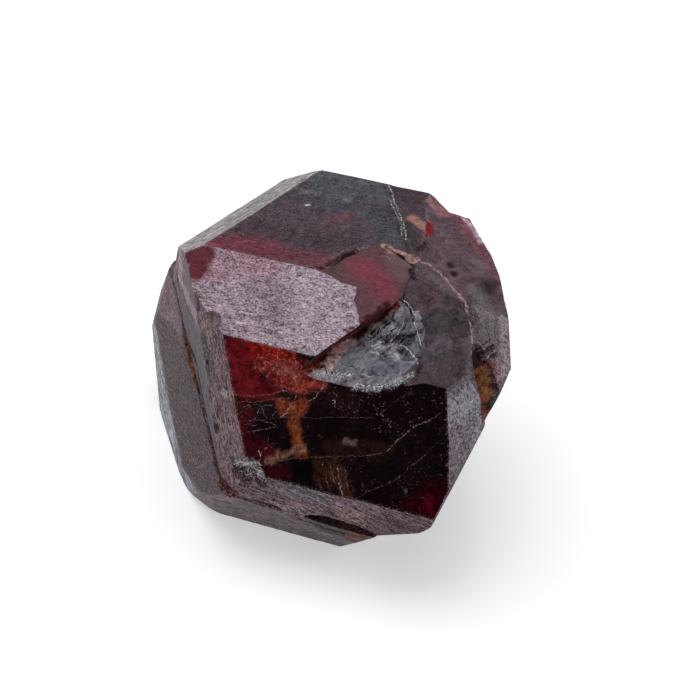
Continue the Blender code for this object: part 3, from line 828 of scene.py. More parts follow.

# Cracks, threads and scratches, with some painted highlights, drawn as lines on the skin: the layer that
# draws it, since lines of one layer don't cross, a path of picture positions, half width in millimetres,
# colour and strength.
ink = (0.006, 0.003, 0.004)
tan = (0.30, 0.16, 0.12)
wax = (0.52, 0.44, 0.42)
# white for lint and pale cracks, also used for painted highlights (white glints) on the shell-shaped break
chalkAndGlint = (0.62, 0.63, 0.65)
lines = [
    # window, from the top down
    (0, [(226, 393), (240, 398), (262, 400), (283, 396), (298, 394), (326, 393)], 0.17, ink, 1.0),
    (1, [(224, 391), (238, 395), (255, 396), (268, 395), (282, 391), (294, 390)], 0.09, tan, 0.9),
    (2, [(236, 402), (256, 402), (270, 399), (284, 398), (292, 399)], 0.06, tan, 0.8),
    (1, [(300, 394), (312, 392), (326, 391)], 0.05, tan, 0.6),
    (2, [(325, 382), (318, 394), (308, 402)], 0.09, wax, 0.8),
    (1, [(297, 396), (291, 404), (287, 412), (280, 418)], 0.08, wax, 0.8),
    (1, [(240, 421), (262, 420), (285, 417), (310, 418), (340, 417), (374, 418)], 0.05, tan, 0.5),
    (1, [(241, 434), (258, 430), (268, 429), (277, 427)], 0.06, tan, 0.85),
    (2, [(277, 427), (272, 423), (262, 421)], 0.04, wax, 0.6),
    (1, [(262, 466), (272, 462), (285, 460), (300, 458), (330, 457), (360, 456), (385, 453)], 0.06, tan,
     0.6),
    (1, [(386, 452), (395, 443), (405, 433), (418, 425), (430, 420), (442, 412)], 0.07, tan, 0.75),
    (2, [(388, 450), (400, 438), (410, 431)], 0.04, wax, 0.6),
    (1, [(355, 499), (370, 491), (390, 483), (403, 474), (412, 465), (426, 455)], 0.06, tan, 0.5),
    (2, [(362, 483), (366, 492)], 0.05, tan, 0.7),
    (2, [(380, 415), (390, 405), (402, 397), (414, 390)], 0.04, tan, 0.6),
    (0, [(384, 411), (394, 402), (406, 396)], 0.03, tan, 0.5),
    (1, [(374, 404), (377, 414), (382, 416)], 0.06, wax, 0.4),
    (1, [(322, 462), (325, 475), (329, 488)], 0.06, tan, 1.2),
    (2, [(330, 464), (333, 476), (334, 484)], 0.05, tan, 1.0),
    (1, [(337, 468), (338, 476), (341, 486)], 0.05, wax, 0.9),
    (2, [(344, 466), (347, 480), (348, 490)], 0.05, tan, 1.0),
    (2, [(318, 478), (321, 490)], 0.05, tan, 0.9),
    (1, [(332, 401), (334, 399), (336, 401), (335, 404), (332, 403)], 0.05, chalkAndGlint, 1.6),
    (2, [(338, 482), (340, 489), (343, 496)], 0.07, wax, 1.4),
    (1, [(352, 484), (354, 492)], 0.05, tan, 1.4),
    (2, [(436, 436), (442, 430), (447, 424)], 0.03, tan, 0.4),
    (2, [(420, 462), (432, 448), (440, 440)], 0.03, tan, 0.35),
    # threads in the dark ellipse of the window
    (2, [(240, 414), (243, 408), (250, 404)], 0.035, wax, 0.7),
    (1, [(246, 410), (254, 404), (262, 405), (258, 412), (255, 419)], 0.03, wax, 0.7),
    (2, [(262, 405), (264, 414), (268, 419)], 0.03, wax, 0.6),
    (2, [(283, 404), (277, 411), (272, 417)], 0.03, wax, 0.7),
    (2, [(244, 424), (250, 421), (252, 427), (258, 424)], 0.03, wax, 0.6),
    (2, [(268, 447), (262, 452), (260, 460)], 0.04, wax, 0.7),
    (1, [(268, 436), (269, 443)], 0.03, wax, 0.5),
    # white crack across the top, in threads
    (0, [(388, 184), (392, 192), (395, 203), (399, 213), (403, 222), (405, 232), (406, 240)], 0.14, chalkAndGlint,
     1.0),
    (1, [(388, 198), (391, 200), (393, 208), (397, 215), (401, 224), (402, 236)], 0.1, chalkAndGlint, 0.9),
    (2, [(391, 192), (391, 200)], 0.22, ink, 0.9),
    (2, [(393, 208), (397, 220), (400, 234)], 0.12, (0.02, 0.02, 0.022), 0.9),
    (2, [(407, 238), (411, 246), (414, 255)], 0.04, chalkAndGlint, 0.45),
    # matt face: a fine crack and some dark pits
    (0, [(262, 319), (272, 309), (282, 300), (292, 290), (300, 284)], 0.035, (0.07, 0.03, 0.035), 0.8),
    (0, [(288, 289), (293, 289)], 0.06, (0.06, 0.02, 0.025), 0.9),
    (0, [(233, 266), (235, 267)], 0.09, (0.06, 0.014, 0.022), 0.9),
    (0, [(270, 296), (271, 298)], 0.08, (0.05, 0.018, 0.022), 0.9),
    # light threads in the rose corner, and painted highlights along the growth ridges
    (0, [(190, 268), (188, 272), (190, 276), (187, 281), (184, 283)], 0.045, (0.36, 0.2, 0.2), 0.85),
    (1, [(188, 269), (193, 268), (198, 269)], 0.035, (0.3, 0.15, 0.15), 0.7),
    (0, [(186, 255), (181, 266), (183, 284), (190, 300), (197, 314)], 0.16, (0.55, 0.43, 0.43), 0.9),
    (1, [(180, 257), (176, 270), (178, 288), (185, 304), (192, 320)], 0.16, (0.55, 0.44, 0.45), 0.9),
    (2, [(172, 262), (173, 274), (176, 288)], 0.14, (0.45, 0.33, 0.33), 0.8),
    (0, [(205, 318), (209, 317), (212, 318)], 0.08, (0.1, 0.022, 0.012), 0.9),
    # shell-shaped break: dark steps, white glints that are painted highlights, and the arc that bounds it
    (0, [(398, 299), (405, 302), (410, 309), (414, 318)], 0.16, ink, 2.6),
    (1, [(404, 300), (411, 307), (416, 318)], 0.09, chalkAndGlint, 2.3),
    (0, [(412, 318), (416, 330), (419, 344)], 0.13, (0.03, 0.03, 0.035), 2.3),
    (1, [(414, 322), (418, 334), (421, 346)], 0.09, chalkAndGlint, 2.3),
    (0, [(380, 332), (388, 324), (394, 314)], 0.14, ink, 2.3),
    (0, [(386, 338), (396, 328)], 0.14, ink, 2.3),
    (0, [(399, 344), (405, 338)], 0.16, ink, 2.3),
    (0, [(362, 331), (372, 322), (386, 312)], 0.11, (0.03, 0.012, 0.012), 1.8),
    (0, [(366, 336), (371, 338), (377, 334), (380, 327)], 0.1, ink, 2.3),
    (1, [(371, 346), (378, 344), (384, 341)], 0.16, chalkAndGlint, 2.6),
    (1, [(369, 351), (375, 352), (380, 354)], 0.17, chalkAndGlint, 2.6),
    (2, [(374, 348), (381, 347)], 0.1, chalkAndGlint, 2.3),
    (1, [(400, 345), (407, 348), (413, 354), (417, 364)], 0.1, chalkAndGlint, 2.3),
    (2, [(385, 352), (391, 347), (398, 350), (402, 357)], 0.11, (0.04, 0.04, 0.045), 2.3),
    (1, [(362, 374), (368, 377), (373, 376)], 0.1, chalkAndGlint, 2.1),
    (0, [(341, 364), (352, 366), (360, 371)], 0.09, (0.045, 0.042, 0.048), 1.8),
    (0, [(362, 356), (366, 364), (364, 371)], 0.09, (0.045, 0.042, 0.048), 0.6),
    (0, [(382, 376), (392, 367), (402, 360)], 0.09, (0.045, 0.042, 0.048), 0.6),
    (1, [(333, 371), (339, 368)], 0.04, (0.05, 0.015, 0.015), 2.1),
    (1, [(374, 334), (382, 324), (390, 312)], 0.09, (0.3, 0.26, 0.22), 2.3),
    (2, [(388, 334), (395, 325), (401, 313)], 0.11, (0.34, 0.32, 0.33), 2.3),
    (1, [(390, 342), (398, 334), (404, 322)], 0.09, (0.42, 0.4, 0.42), 2.3),
    (0, [(391, 343), (399, 336), (406, 324)], 0.12, (0.02, 0.018, 0.02), 2.3),
    (2, [(356, 346), (366, 341), (374, 338)], 0.1, (0.05, 0.03, 0.035), 2.1),
    (0, [(360, 348), (372, 342), (384, 336)], 0.12, (0.035, 0.03, 0.035), 2.1),
    (2, [(352, 358), (362, 351), (370, 346)], 0.1, (0.32, 0.28, 0.3), 2.1),
    # thin loops beside the crest of the rose facet
    (1, [(381, 256), (387, 257), (391, 260)], 0.035, (0.4, 0.36, 0.36), 1.8),
    (2, [(383, 252), (389, 254), (393, 258)], 0.03, (0.36, 0.31, 0.31), 0.6),
    # pale curved ridge at the right
    (0, [(418, 260), (428, 264), (438, 271), (445, 278), (452, 287), (460, 296), (466, 306), (468, 316)],
     0.26, (0.46, 0.34, 0.34), 2.0),
    (1, [(446, 281), (453, 290), (459, 297)], 0.14, (0.34, 0.14, 0.12), 0.7),
    (0, [(468, 318), (471, 330), (472, 342), (473, 352)], 0.17, (0.42, 0.37, 0.38), 1.8),
    (1, [(466, 312), (469, 326), (470, 340)], 0.09, ink, 0.7),
    # wisps in the broken side
    (1, [(442, 246), (446, 240), (452, 232)], 0.06, (0.36, 0.28, 0.32), 1.3),
    (2, [(449, 231), (454, 232)], 0.06, (0.36, 0.28, 0.32), 1.3),
    (1, [(474, 302), (477, 312), (481, 322)], 0.08, (0.42, 0.38, 0.38), 1.4),
    (2, [(468, 300), (472, 308), (474, 318)], 0.05, (0.3, 0.26, 0.27), 1.1),
    (1, [(437, 216), (446, 217), (456, 213)], 0.06, (0.38, 0.22, 0.24), 1.5),
    (1, [(462, 210), (466, 220), (474, 232), (480, 246)], 0.05, (0.42, 0.33, 0.34), 1.5),
    (2, [(440, 258), (448, 254), (456, 257)], 0.05, (0.28, 0.22, 0.24), 1.1),
    (0, [(477, 352), (486, 347), (494, 342)], 0.05, chalkAndGlint, 0.9),
    (0, [(480, 361), (488, 356), (495, 350)], 0.06, chalkAndGlint, 1.2),
    (1, [(476, 356), (485, 350), (494, 344)], 0.12, ink, 1.8),
    (2, [(479, 366), (488, 359), (496, 353)], 0.12, ink, 1.8),
    (2, [(476, 349), (483, 345), (491, 339)], 0.09, ink, 1.6),
    # lint caught at the lower left corner of the window
    (1, [(233, 465), (240, 462), (248, 464), (256, 461), (262, 466)], 0.09, chalkAndGlint, 2.1),
    (2, [(240, 468), (247, 464), (252, 468), (258, 472), (257, 479)], 0.08, chalkAndGlint, 2.0),
    (0, [(246, 472), (250, 465), (256, 466), (263, 470)], 0.08, wax, 2.0),
    (1, [(244, 476), (250, 474), (254, 480)], 0.07, chalkAndGlint, 1.8),
    (2, [(258, 462), (261, 455), (259, 450)], 0.06, chalkAndGlint, 1.8),
    # left side: thin scratches, and the dark borders of the pale strips
    (0, [(172, 424), (182, 434), (192, 446), (203, 458)], 0.05, (0.2, 0.1, 0.075), 0.6),
    (1, [(190, 452), (194, 462), (197, 468), (204, 464), (208, 461)], 0.045, (0.4, 0.36, 0.34), 1.8),
    (2, [(200, 469), (204, 465), (203, 460)], 0.04, (0.4, 0.36, 0.34), 1.6),
    (0, [(229, 455), (232, 461), (237, 465)], 0.12, (0.02, 0.006, 0.009), 0.9),
    (0, [(236, 482), (244, 484), (250, 489)], 0.1, ink, 0.9),
    (0, [(162, 316), (170, 326), (178, 338), (186, 346)], 0.05, (0.035, 0.022, 0.018), 0.7),
    (0, [(160, 355), (166, 385), (172, 412), (178, 442), (182, 470)], 0.05, (0.04, 0.025, 0.022), 0.7),
]
lineLayers = 3

# how strokes and lines find their place on the skin
placing = dict(
    nearby=1.2,               # picture dots by which a point may lie farther off than the nearest
    frontShare=0.3,           # how strongly the one nearer to the camera then wins
    longestSlide=0.6,         # millimetres from that point to the place itself
    lineMargin=12,            # picture dots round a line that are searched
    lineReach=1.2,            # millimetres from a line within which it is drawn
    noLine=(9.0, -9.0, 0.0),  # across, inside and half width where no line is near
)
# a stroke's wavering edge: its usual and least amounts, then height, size and seed of two noises
strokeEdge = dict(wobble=0.5, least=0.4, coarse=(0.6, 1.3, 7), fine=(0.4, 0.45, 8))
unwornGap = 9                 # an edge this far off is never worn


# unit vector from the growth centre towards the camera
def cameraSide():
    climb = math.radians(studio["viewClimb"])
    return np.array([0, -math.cos(climb), math.sin(climb)])


# half the picture's width and the focal length, both in its dots
def pictureScale():
    return studio["pictureWidth"] / 2, studio["pictureWidth"] * studio["lens"] / studio["sensorWidth"]


# picture position of points and their distance: the pinhole formula of the studio camera
def pictureOf(points):
    climb = math.radians(studio["viewClimb"])
    up = points[:, 1] * math.sin(climb) + points[:, 2] * math.cos(climb)
    depth = studio["viewDistance"] + points[:, 1] * math.cos(climb) - points[:, 2] * math.sin(climb)
    half, focal = pictureScale()
    return half + focal * points[:, 0] / depth, half - focal * up / depth, depth


# The skin point seen at each picture position: of the nearest points that fall there the one nearest
# to the camera, slid along its own plane until it falls exactly there.
def seenAt(points, normals, spots):
    climb = math.radians(studio["viewClimb"])
    eye = studio["viewDistance"] * cameraSide()
    x, y, depth = pictureOf(points)
    half, focal = pictureScale()
    found = []
    for spotX, spotY in spots:
        miss = np.hypot(x - spotX, y - spotY)
        rank = depth * placing["frontShare"] + miss
        nearest = np.argmin(np.where(miss < miss.min() + placing["nearby"], rank, np.inf))
        across, up = (spotX - half) / focal, (half - spotY) / focal
        level = math.cos(climb) + up * math.sin(climb)
        sight = np.array([across, level, up * math.cos(climb) - math.sin(climb)])
        reach = (points[nearest] - eye) @ normals[nearest] / (sight @ normals[nearest])
        slid = eye + reach * sight
        near = np.linalg.norm(slid - points[nearest]) < placing["longestSlide"]
        found.append(slid if near else points[nearest])
    return np.array(found)


# distance from points to a path of straight pieces: the least over the pieces
def pathDistance(points, path):
    best = np.linalg.norm(points - path[0], axis=1)
    for start, end in zip(path[:-1], path[1:]):
        run = end - start
        part = np.clip((points - start) @ run / max(run @ run, 1e-9), 0, 1)
        best = np.minimum(best, np.linalg.norm(points - start - part[:, None] * run, axis=1))
    return best


# unit normal of every point: the sum of the area vectors of the triangles round it
def pointNormals(points, triangles):
    a, b, c = (points[triangles[:, index]] for index in range(3))
    area = np.cross(b - a, c - a)
    total = np.zeros_like(points)
    for corner in range(3):
        np.add.at(total, triangles[:, corner], area)
    return unit(total + 1e-12), unit(area + 1e-12)


# Look of every corner of every triangle: what its kind says, then the strokes laid over it in turn.
# Strokes with a depth also give how far the skin sinks at each point.
def paintSkin(points, normals, triangles, kind):
    looks = {}
    for key in ("colour", *traits):
        values = np.array([{**plain, **skinKinds.get(name, {})}[key] for name in kinds], float)[kind]
        looks[key] = np.repeat(values[:, None], 3, axis=1)
    depth = np.zeros(len(points))
    wobble = 0
    for height, size, seed in (strokeEdge["coarse"], strokeEdge["fine"]):
        wobble = wobble + height * cloudNoise(points, size, seed)
    for stroke in strokes:
        miss = pathDistance(points, seenAt(points, normals, stroke["path"]))
        miss += wobble * stroke.get("wobble", strokeEdge["wobble"]) * (stroke["fade"] + strokeEdge["least"])
        outside = smooth(stroke["width"], stroke["width"] + stroke["fade"], miss)
        cover = stroke.get("amount", 1.0) * (1 - outside)
        depth += cover * stroke.get("depth", 0.0)
        touched = np.flatnonzero((cover[triangles] > 1e-3).any(1))
        if "on" in stroke:
            touched = touched[np.isin(kind[touched], kindNumbers(stroke["on"]))]
        weight = cover[triangles[touched]]
        for key in looks:
            if key in stroke:
                share = weight[..., None] if key == "colour" else weight
                looks[key][touched] += share * (np.array(stroke[key]) - looks[key][touched])
    return looks, depth


# growth-line coordinates of every corner: how far along and across its kind's lines it lies
def grainOf(points, normals, triangles, kind):
    grain = np.zeros((len(triangles), 3, 3))
    for index, name in enumerate(kinds):
        own = kind == index
        if own.sum() < 2:
            continue
        start, end = seenAt(points, normals, {**plain, **skinKinds.get(name, {})}["run"])
        spots = points[triangles[own]]
        flat = spots.reshape(-1, 3) - spots.reshape(-1, 3).mean(0)
        normal = np.linalg.svd(flat.T @ flat)[2][2]
        along = unit(end - start)
        along = unit(along - normal * (along @ normal))
        grain[own, :, 0] = spots @ along
        grain[own, :, 1] = spots @ np.cross(normal, along)
        grain[own, :, 2] = 7.3 * index
    return grain


# For every corner and line layer: how far it lies across the nearest line of that layer, how far
# inside the line's ends, the line's half width, and its colour with its strength as alpha.
def lineLooks(points, normals, flats, triangles):
    centres = points[triangles].mean(1)
    x, y, _ = pictureOf(centres)
    layers = []
    for layer in range(lineLayers):
        best = np.full(len(triangles), placing["lineReach"])
        place = np.tile(placing["noLine"], (len(triangles), 3, 1))
        shade = np.zeros((len(triangles), 3, 4))
        for own, spots, width, colour, strength in lines:
            if own != layer:
                continue
            path = seenAt(points, normals, spots)
            low = np.min(spots, axis=0) - placing["lineMargin"]
            high = np.max(spots, axis=0) + placing["lineMargin"]
            near = np.flatnonzero((x > low[0]) & (x < high[0]) & (y > low[1]) & (y < high[1]))
            lengths = np.linalg.norm(np.diff(path, axis=0), axis=1)
            for index, (start, end) in enumerate(zip(path[:-1], path[1:])):
                run = unit(end - start)
                before = lengths[:index].sum()
                part = np.clip((centres[near] - start) @ run, 0, lengths[index])
                miss = np.linalg.norm(centres[near] - start - part[:, None] * run, axis=1)
                hit = near[miss < best[near]]
                best[near] = np.minimum(best[near], miss)
                aside = unit(np.cross(flats[hit], run))
                offset = points[triangles[hit]] - start
                along = before + offset @ run
                place[hit, :, 0] = np.einsum("tcx,tx->tc", offset, aside)
                place[hit, :, 1] = np.minimum(along, lengths.sum() - along)
                place[hit, :, 2] = width
                shade[hit] = (*colour, strength)
        layers.append((place, shade))
    return layers


# a socket that can be reckoned with: + - * / and the like add their Math nodes
class Wire:
    def __init__(self, tree, socket):
        self.tree, self.socket = tree, socket

    def reckon(self, operation, first, second=0.0):
        return makeNode(self.tree, "ShaderNodeMath", dict(operation=operation), {0: first, 1: second})

    def __add__(self, other):
        return self.reckon("ADD", self, other)

    __radd__ = __add__

    def __sub__(self, other):
        return self.reckon("SUBTRACT", self, other)

    def __rsub__(self, other):
        return self.reckon("SUBTRACT", other, self)

    def __mul__(self, other):
        return self.reckon("MULTIPLY", self, other)

    __rmul__ = __mul__

    def __truediv__(self, other):
        return self.reckon("DIVIDE", self, other)

    def __abs__(self):
        return self.reckon("ABSOLUTE", self)

    def atLeast(self, other):
        return self.reckon("MAXIMUM", self, other)

    def atMost(self, other):
        return self.reckon("MINIMUM", self, other)

    # 0 below low, 1 above high, smooth between; low above high gives the reverse
    def step(self, low, high):
        ends = {1: low, 2: high, 3: 0, 4: 1} if low <= high else {1: high, 2: low, 3: 1, 4: 0}
        settings = dict(interpolation_type="SMOOTHSTEP")
        return makeNode(self.tree, "ShaderNodeMapRange", settings, {0: self, **ends})


# any node: its type, its settings set first, then the values or links of its sockets
def makeNode(tree, kind, settings=None, inputs=None, output=0):
    node = tree.nodes.new(kind)
    for name, value in (settings or {}).items():
        setattr(node, name, value)
    for name, value in (inputs or {}).items():
        if isinstance(value, Wire):
            tree.links.new(value.socket, node.inputs[name])
        else:
            node.inputs[name].default_value = value
    return Wire(tree, node.outputs[output] if len(node.outputs) else None)


# under and over in the shares 1 - factor and factor
def mixColour(tree, factor, under, over):
    settings = dict(data_type="RGBA", clamp_factor=True)
    return makeNode(tree, "ShaderNodeMix", settings, {0: factor, 6: under, 7: over}, output=2)


# a vector times another, part by part
def stretch(tree, vector, amounts):
    return makeNode(tree, "ShaderNodeVectorMath", dict(operation="MULTIPLY"), {0: vector, 1: amounts})


# a colour or vector times one number
def dim(tree, colour, factor):
    return makeNode(tree, "ShaderNodeVectorMath", dict(operation="SCALE"), {0: colour, "Scale": factor})


# noise between 0 and 1, with so many changes per unit of the vector
def cloud(tree, vector, scale, detail=3.0, rough=0.55, warp=0.0):
    inputs = {"Vector": vector, "Scale": scale, "Detail": detail, "Roughness": rough, "Distortion": warp}
    return makeNode(tree, "ShaderNodeTexNoise", None, inputs)


# The crystal's surface patterns. Each is its changes per millimetre, detail, roughness and warp; the
# growth lines and dashes have changes along and across the grain instead.
patterns = dict(
    longLines=((0.40, 3.2, 1), 4, 0.62, 0.15),
    fineLines=((1.4, 8.5, 1), 2, 0.5, 0.2),
    dashes=((3.2, 7.4, 1), 2.5, 0.6, 0.6),
    grains=(4.6, 2, 0.6),
    clouds=(0.55, 5, 0.62, 1.4),
    mottles=(1.8, 5, 0.70, 0.9),
    specks=(4.6, 1.5, 0.5, 0.4),
    crumbs=(5.0, 3, 0.65, 0.6),
    lineWobble=(1.4, 2),
    lineShiver=(6.0, 1),
    lineGaps=(3.6, 3),
)

# how strongly each pattern lightens and darkens the colour, raises the skin and roughens it
contrast = dict(
    longLines=3.4, fineLines=2.8, grains=0.9, pitGrains=2.2, clouds=2.6, mottles=4.0, least=0.05,
)
relief = dict(
    longLines=0.7, fineLines=0.4, dashes=0.9, grains=0.15, mottles=0.6, crumbs=1.6, groove=0.5,
)
dulling = dict(grains=0.25, frost=0.3, groove=0.2)

# Marks laid over the colour, each with the span of its pattern's values over which it comes in; the
# larger value first means that it comes in below them.
marks = dict(
    pit=dict(colour=(0.105, 0.040, 0.052, 1), strength=0.80, span=(0.48, 0.38)),
    fleck=dict(colour=(0.50, 0.44, 0.47, 1), strength=0.55, span=(0.55, 0.68)),
    worn=dict(colour=(0.34, 0.28, 0.30, 1), strength=0.55, span=(0.16, 0.02)),
    dust=dict(colour=(0.25, 0.125, 0.125, 1), strength=0.8, span=(0.62, 0.70)),
    thread=dict(colour=(0.42, 0.30, 0.26, 1), strength=0.85, span=(0.045, 0.010)),
    frost=dict(colour=(0.82, 0.83, 0.86, 1), strength=0.85, span=(0.50, 0.60)),
    frostGap=dict(colour=(0.020, 0.014, 0.016, 1), strength=0.85, span=(0.43, 0.36)),
)

finish = dict(
    wornCrumbs=(0.50, 0.62),         # spans that break up the wear, the dust and the threads
    dustClouds=(0.47, 0.60),
    threadMottles=(0.47, 0.56),
    webs=1.15,                       # cells per millimetre, and what bends their sides
    webBend=0.9,
    webBendScale=1.6,
    webBendDetail=2,
    lineWobble=0.55,                 # millimetres that the drawn lines wander
    lineShiver=0.16,
    lineWidth=0.6,
    lineSide=(1.6, 0.5),
    lineEnd=(-0.05, 0.12),
    lineGaps=(0.44, 0.60),
    lineFaint=0.12,                  # share of a line's strength left in its gaps
    lineFull=0.88,
    bumpHeight=0.00013,
    bumpStrength=0.7,
    refraction=1.78,                 # garnet's own
    shine=0.03,
)


# The one finish: the painted stain, lightened and darkened by the patterns, then the marks and the
# drawn lines mixed over it; the same patterns give the bump and the roughness.
def garnetFinish():
    material = bpy.data.materials.new("garnet")
    material.use_nodes = True
    tree = material.node_tree
    tree.nodes.clear()

    def attribute(name, output=2):
        return makeNode(tree, "ShaderNodeAttribute", dict(attribute_name=name), None, output)

    # a pattern that follows the grain
    def grown(name):
        pace, *rest = patterns[name]
        return cloud(tree, stretch(tree, grain, pace), 1.0, *rest)

    # the colour with one mark over it, where its pattern passes its span, times the amounts
    def mark(under, name, pattern, *amounts):
        cover = pattern.step(*marks[name]["span"])
        for amount in amounts:
            cover = cover * amount
        return mixColour(tree, cover * marks[name]["strength"], under, marks[name]["colour"])

    stain, grain, edge = attribute("stain", 0), attribute("grain", 1), attribute("edge")
    rough, streak, pit, swirl, mottle, dust, web, frost = (attribute(name) for name in traits)
    place = makeNode(tree, "ShaderNodeTexCoord", None, None, 3)
    spot = makeNode(tree, "ShaderNodeMapping", None, {
        "Vector": place,
        "Location": [-value for value in crystal["growthCentre"]],
        "Scale": (1 / mm, 1 / mm, 1 / mm),
    })

    longLines, fineLines, dashes = (grown(name) for name in ("longLines", "fineLines", "dashes"))
    grains, clouds, mottles, specks, crumbs = (
        cloud(tree, spot, *patterns[name]) for name in ("grains", "clouds", "mottles", "specks", "crumbs"))
    lineWobble, lineShiver, lineGaps = (
        cloud(tree, spot, *patterns[name]) for name in ("lineWobble", "lineShiver", "lineGaps"))

    tone = (longLines - 0.5) * contrast["longLines"] + (fineLines - 0.5) * contrast["fineLines"]
    tone = 1 + streak * tone + (grains - 0.5) * (contrast["grains"] + contrast["pitGrains"] * pit)
    tone = tone + swirl * (clouds - 0.5) * contrast["clouds"]
    tone = tone + mottle * (mottles - 0.5) * contrast["mottles"]
    colour = dim(tree, stain, tone.atLeast(contrast["least"]))
    colour = mark(colour, "pit", dashes, pit)
    colour = mark(colour, "fleck", dashes, pit)
    colour = mark(colour, "worn", edge, crumbs.step(*finish["wornCrumbs"]))
    colour = mark(colour, "dust", specks, dust, clouds.step(*finish["dustClouds"]))

    bend = {"Vector": spot, "Scale": finish["webBendScale"], "Detail": finish["webBendDetail"]}
    bend = dim(tree, makeNode(tree, "ShaderNodeTexNoise", None, bend, 1), finish["webBend"])
    bent = makeNode(tree, "ShaderNodeVectorMath", dict(operation="ADD"), {0: spot, 1: bend})
    cells = {"Vector": bent, "Scale": finish["webs"]}
    cells = makeNode(tree, "ShaderNodeTexVoronoi", dict(feature="DISTANCE_TO_EDGE"), cells)
    colour = mark(colour, "thread", cells, web, mottles.step(*finish["threadMottles"]))
    colour = mark(colour, "frost", crumbs, frost)
    colour = mark(colour, "frostGap", crumbs, frost)

    wobble = (lineWobble - 0.5) * finish["lineWobble"] + (lineShiver - 0.5) * finish["lineShiver"]
    solid = finish["lineFaint"] + finish["lineFull"] * lineGaps.step(*finish["lineGaps"])
    groove = None
    for layer in range(lineLayers):
        across = makeNode(tree, "ShaderNodeSeparateXYZ", None, {0: attribute("line%d" % layer, 1)})
        inside, width = (Wire(tree, across.socket.node.outputs[index]) for index in (1, 2))
        cover = (abs(across + wobble) / (width * finish["lineWidth"])).step(*finish["lineSide"])
        cover = cover * inside.step(*finish["lineEnd"])
        cover = (cover * attribute("line%dColour" % layer, 3) * solid).atMost(1)
        colour = mixColour(tree, cover, colour, attribute("line%dColour" % layer, 0))
        groove = cover if groove is None else groove.atLeast(cover)

    rise = streak * (longLines * relief["longLines"] + fineLines * relief["fineLines"])
    rise = rise + pit * dashes * relief["dashes"] + swirl * clouds + grains * relief["grains"]
    rise = rise + mottle * mottles * relief["mottles"] + frost * crumbs * relief["crumbs"]
    bump = makeNode(tree, "ShaderNodeBump", None, {
        "Height": rise - groove * relief["groove"],
        "Strength": finish["bumpStrength"],
        "Distance": finish["bumpHeight"],
    })
    dull = rough + (grains - 0.5) * dulling["grains"] + frost * dulling["frost"]
    surface = makeNode(tree, "ShaderNodeBsdfPrincipled", None, {
        "Base Color": colour,
        "Roughness": dull + groove * dulling["groove"],
        "Normal": bump,
        "IOR": finish["refraction"],
        "Specular IOR Level": finish["shine"],
    })
    makeNode(tree, "ShaderNodeOutputMaterial", None, {"Surface": surface})
    return material


# values for the finish to read, one for each corner or point of the mesh
def giveValues(mesh, name, kind, values, domain="CORNER"):
    layer = mesh.attributes.new(name, kind, domain)
    key = {"FLOAT": "value", "FLOAT_VECTOR": "vector", "FLOAT_COLOR": "color"}[kind]
    layer.data.foreach_set(key, np.ascontiguousarray(values, np.float32).ravel())


# the crystal: grid, creases, looks and mesh in turn
def buildCrystal():
    biteList.extend(biteBalls())
    rays, quads = surfaceRays(crystal["gridSide"], crystal["crowding"], cameraSide())
    snapped, moved = snapToCreases(rays, quads)
    triangles = splitQuads(rays, snapped, moved, quads)
    skin, _, gap = crystalSurface(snapped)
    points = snapped * skin[:, None]
    print("crystal grid: %d points, %d on creases" % (len(points), moved.sum()))

    kind = crystalSurface(unit(snapped[triangles].sum(1)))[1]
    normals, flats = pointNormals(points, triangles)
    steep = np.einsum("ij,ij->i", flats, unit(points[triangles].mean(1))) < crystal["stepSlope"]
    tall = np.ptp(skin[triangles], axis=1) > crystal["stepHeight"]
    kind[steep & tall] = kinds.index("step")
    gap[np.unique(triangles[np.isin(kind, kindNumbers(unwornKinds))])] = unwornGap
    looks, depth = paintSkin(points, normals, triangles, kind)
    grain = grainOf(points, normals, triangles, kind)
    layers = lineLooks(points, normals, flats, triangles)
    print("crystal painted: %d strokes, %d lines" % (len(strokes), len(lines)))

    placed = (snapped * (skin - depth)[:, None] + np.array(crystal["growthCentre"])) * mm
    placed[:, 2] = placed[:, 2].clip(0)
    thing = meshObject("garnetCrystal", placed, triangles, sharpness=crystal["sharpAngle"])
    mesh = thing.data
    opaque = np.ones((len(triangles), 3, 1))
    giveValues(mesh, "stain", "FLOAT_COLOR", np.concatenate([looks["colour"], opaque], 2))
    giveValues(mesh, "grain", "FLOAT_VECTOR", grain)
    giveValues(mesh, "edge", "FLOAT", gap, "POINT")
    for name in traits:
        giveValues(mesh, name, "FLOAT", looks[name])
    for index, (place, shade) in enumerate(layers):
        giveValues(mesh, "line%d" % index, "FLOAT_VECTOR", place)
        giveValues(mesh, "line%dColour" % index, "FLOAT_COLOR", shade)
    mesh.materials.append(garnetFinish())
    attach(thing, "root")
    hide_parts("garnet_crystal")


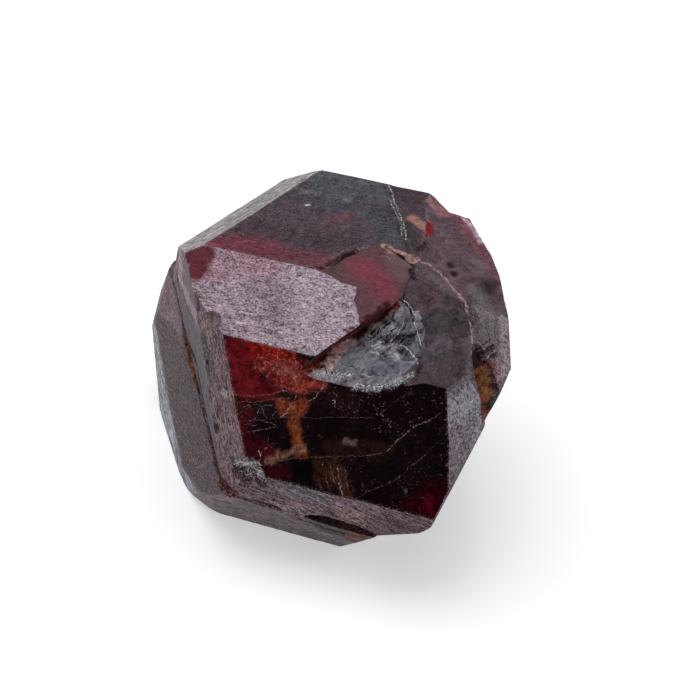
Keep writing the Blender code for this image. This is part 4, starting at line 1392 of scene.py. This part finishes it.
# the pale floor: one square at height 0, level with the crystal's foot
def buildFloor():
    half = studio["floorSize"] / 2
    corners = np.array([(-half, -half, 0), (half, -half, 0), (half, half, 0), (-half, half, 0)])
    floor = meshObject("floor", corners, np.array([[0, 1, 2, 3]]))
    paper = bpy.data.materials.new("paleFloor")
    paper.use_nodes = True
    surface = paper.node_tree.nodes["Principled BSDF"]
    values = {
        "Base Color": studio["floorColour"],
        "Roughness": studio["floorRoughness"],
        "Specular IOR Level": studio["floorShine"],
        "Emission Color": studio["floorColour"],
        "Emission Strength": studio["floorGlow"],
    }
    for name, value in values.items():
        surface.inputs[name].default_value = value
    floor.data.materials.append(paper)


# one rectangular lamp, turned to look at the origin
def softBox(name, place, size, power):
    light = bpy.data.lights.new(name, "AREA")
    light.shape = "RECTANGLE"
    light.size, light.size_y = size
    light.energy = power
    thing = bpy.data.objects.new(name, light)
    thing.location = place
    thing.rotation_euler = Vector(place).to_track_quat("Z", "Y").to_euler()
    bpy.context.scene.collection.objects.link(thing)


# camera on its slope in front of the crystal, dim sky and the soft boxes
def buildStudio():
    lens = bpy.data.cameras.new("camera")
    lens.lens = studio["lens"]
    lens.sensor_width = studio["sensorWidth"]
    lens.clip_start = studio["nearest"]
    camera = bpy.data.objects.new("camera", lens)
    eye = np.array(crystal["growthCentre"]) + studio["viewDistance"] * cameraSide()
    camera.location = eye * mm
    camera.rotation_euler = (math.pi / 2 - math.radians(studio["viewClimb"]), 0, 0)
    bpy.context.scene.collection.objects.link(camera)
    bpy.context.scene.camera = camera
    world = bpy.data.worlds.new("studio")
    world.use_nodes = True
    sky = world.node_tree.nodes["Background"]
    sky.inputs["Color"].default_value = studio["worldColour"]
    sky.inputs["Strength"].default_value = studio["worldStrength"]
    bpy.context.scene.world = world
    bpy.context.scene.view_settings.view_transform = "Standard"
    for name, (place, size, power) in softBoxes.items():
        softBox(name, place, size, power)


buildFloor()
print("floor laid")
buildCrystal()
print("crystal dressed")
buildStudio()
print("studio lit")
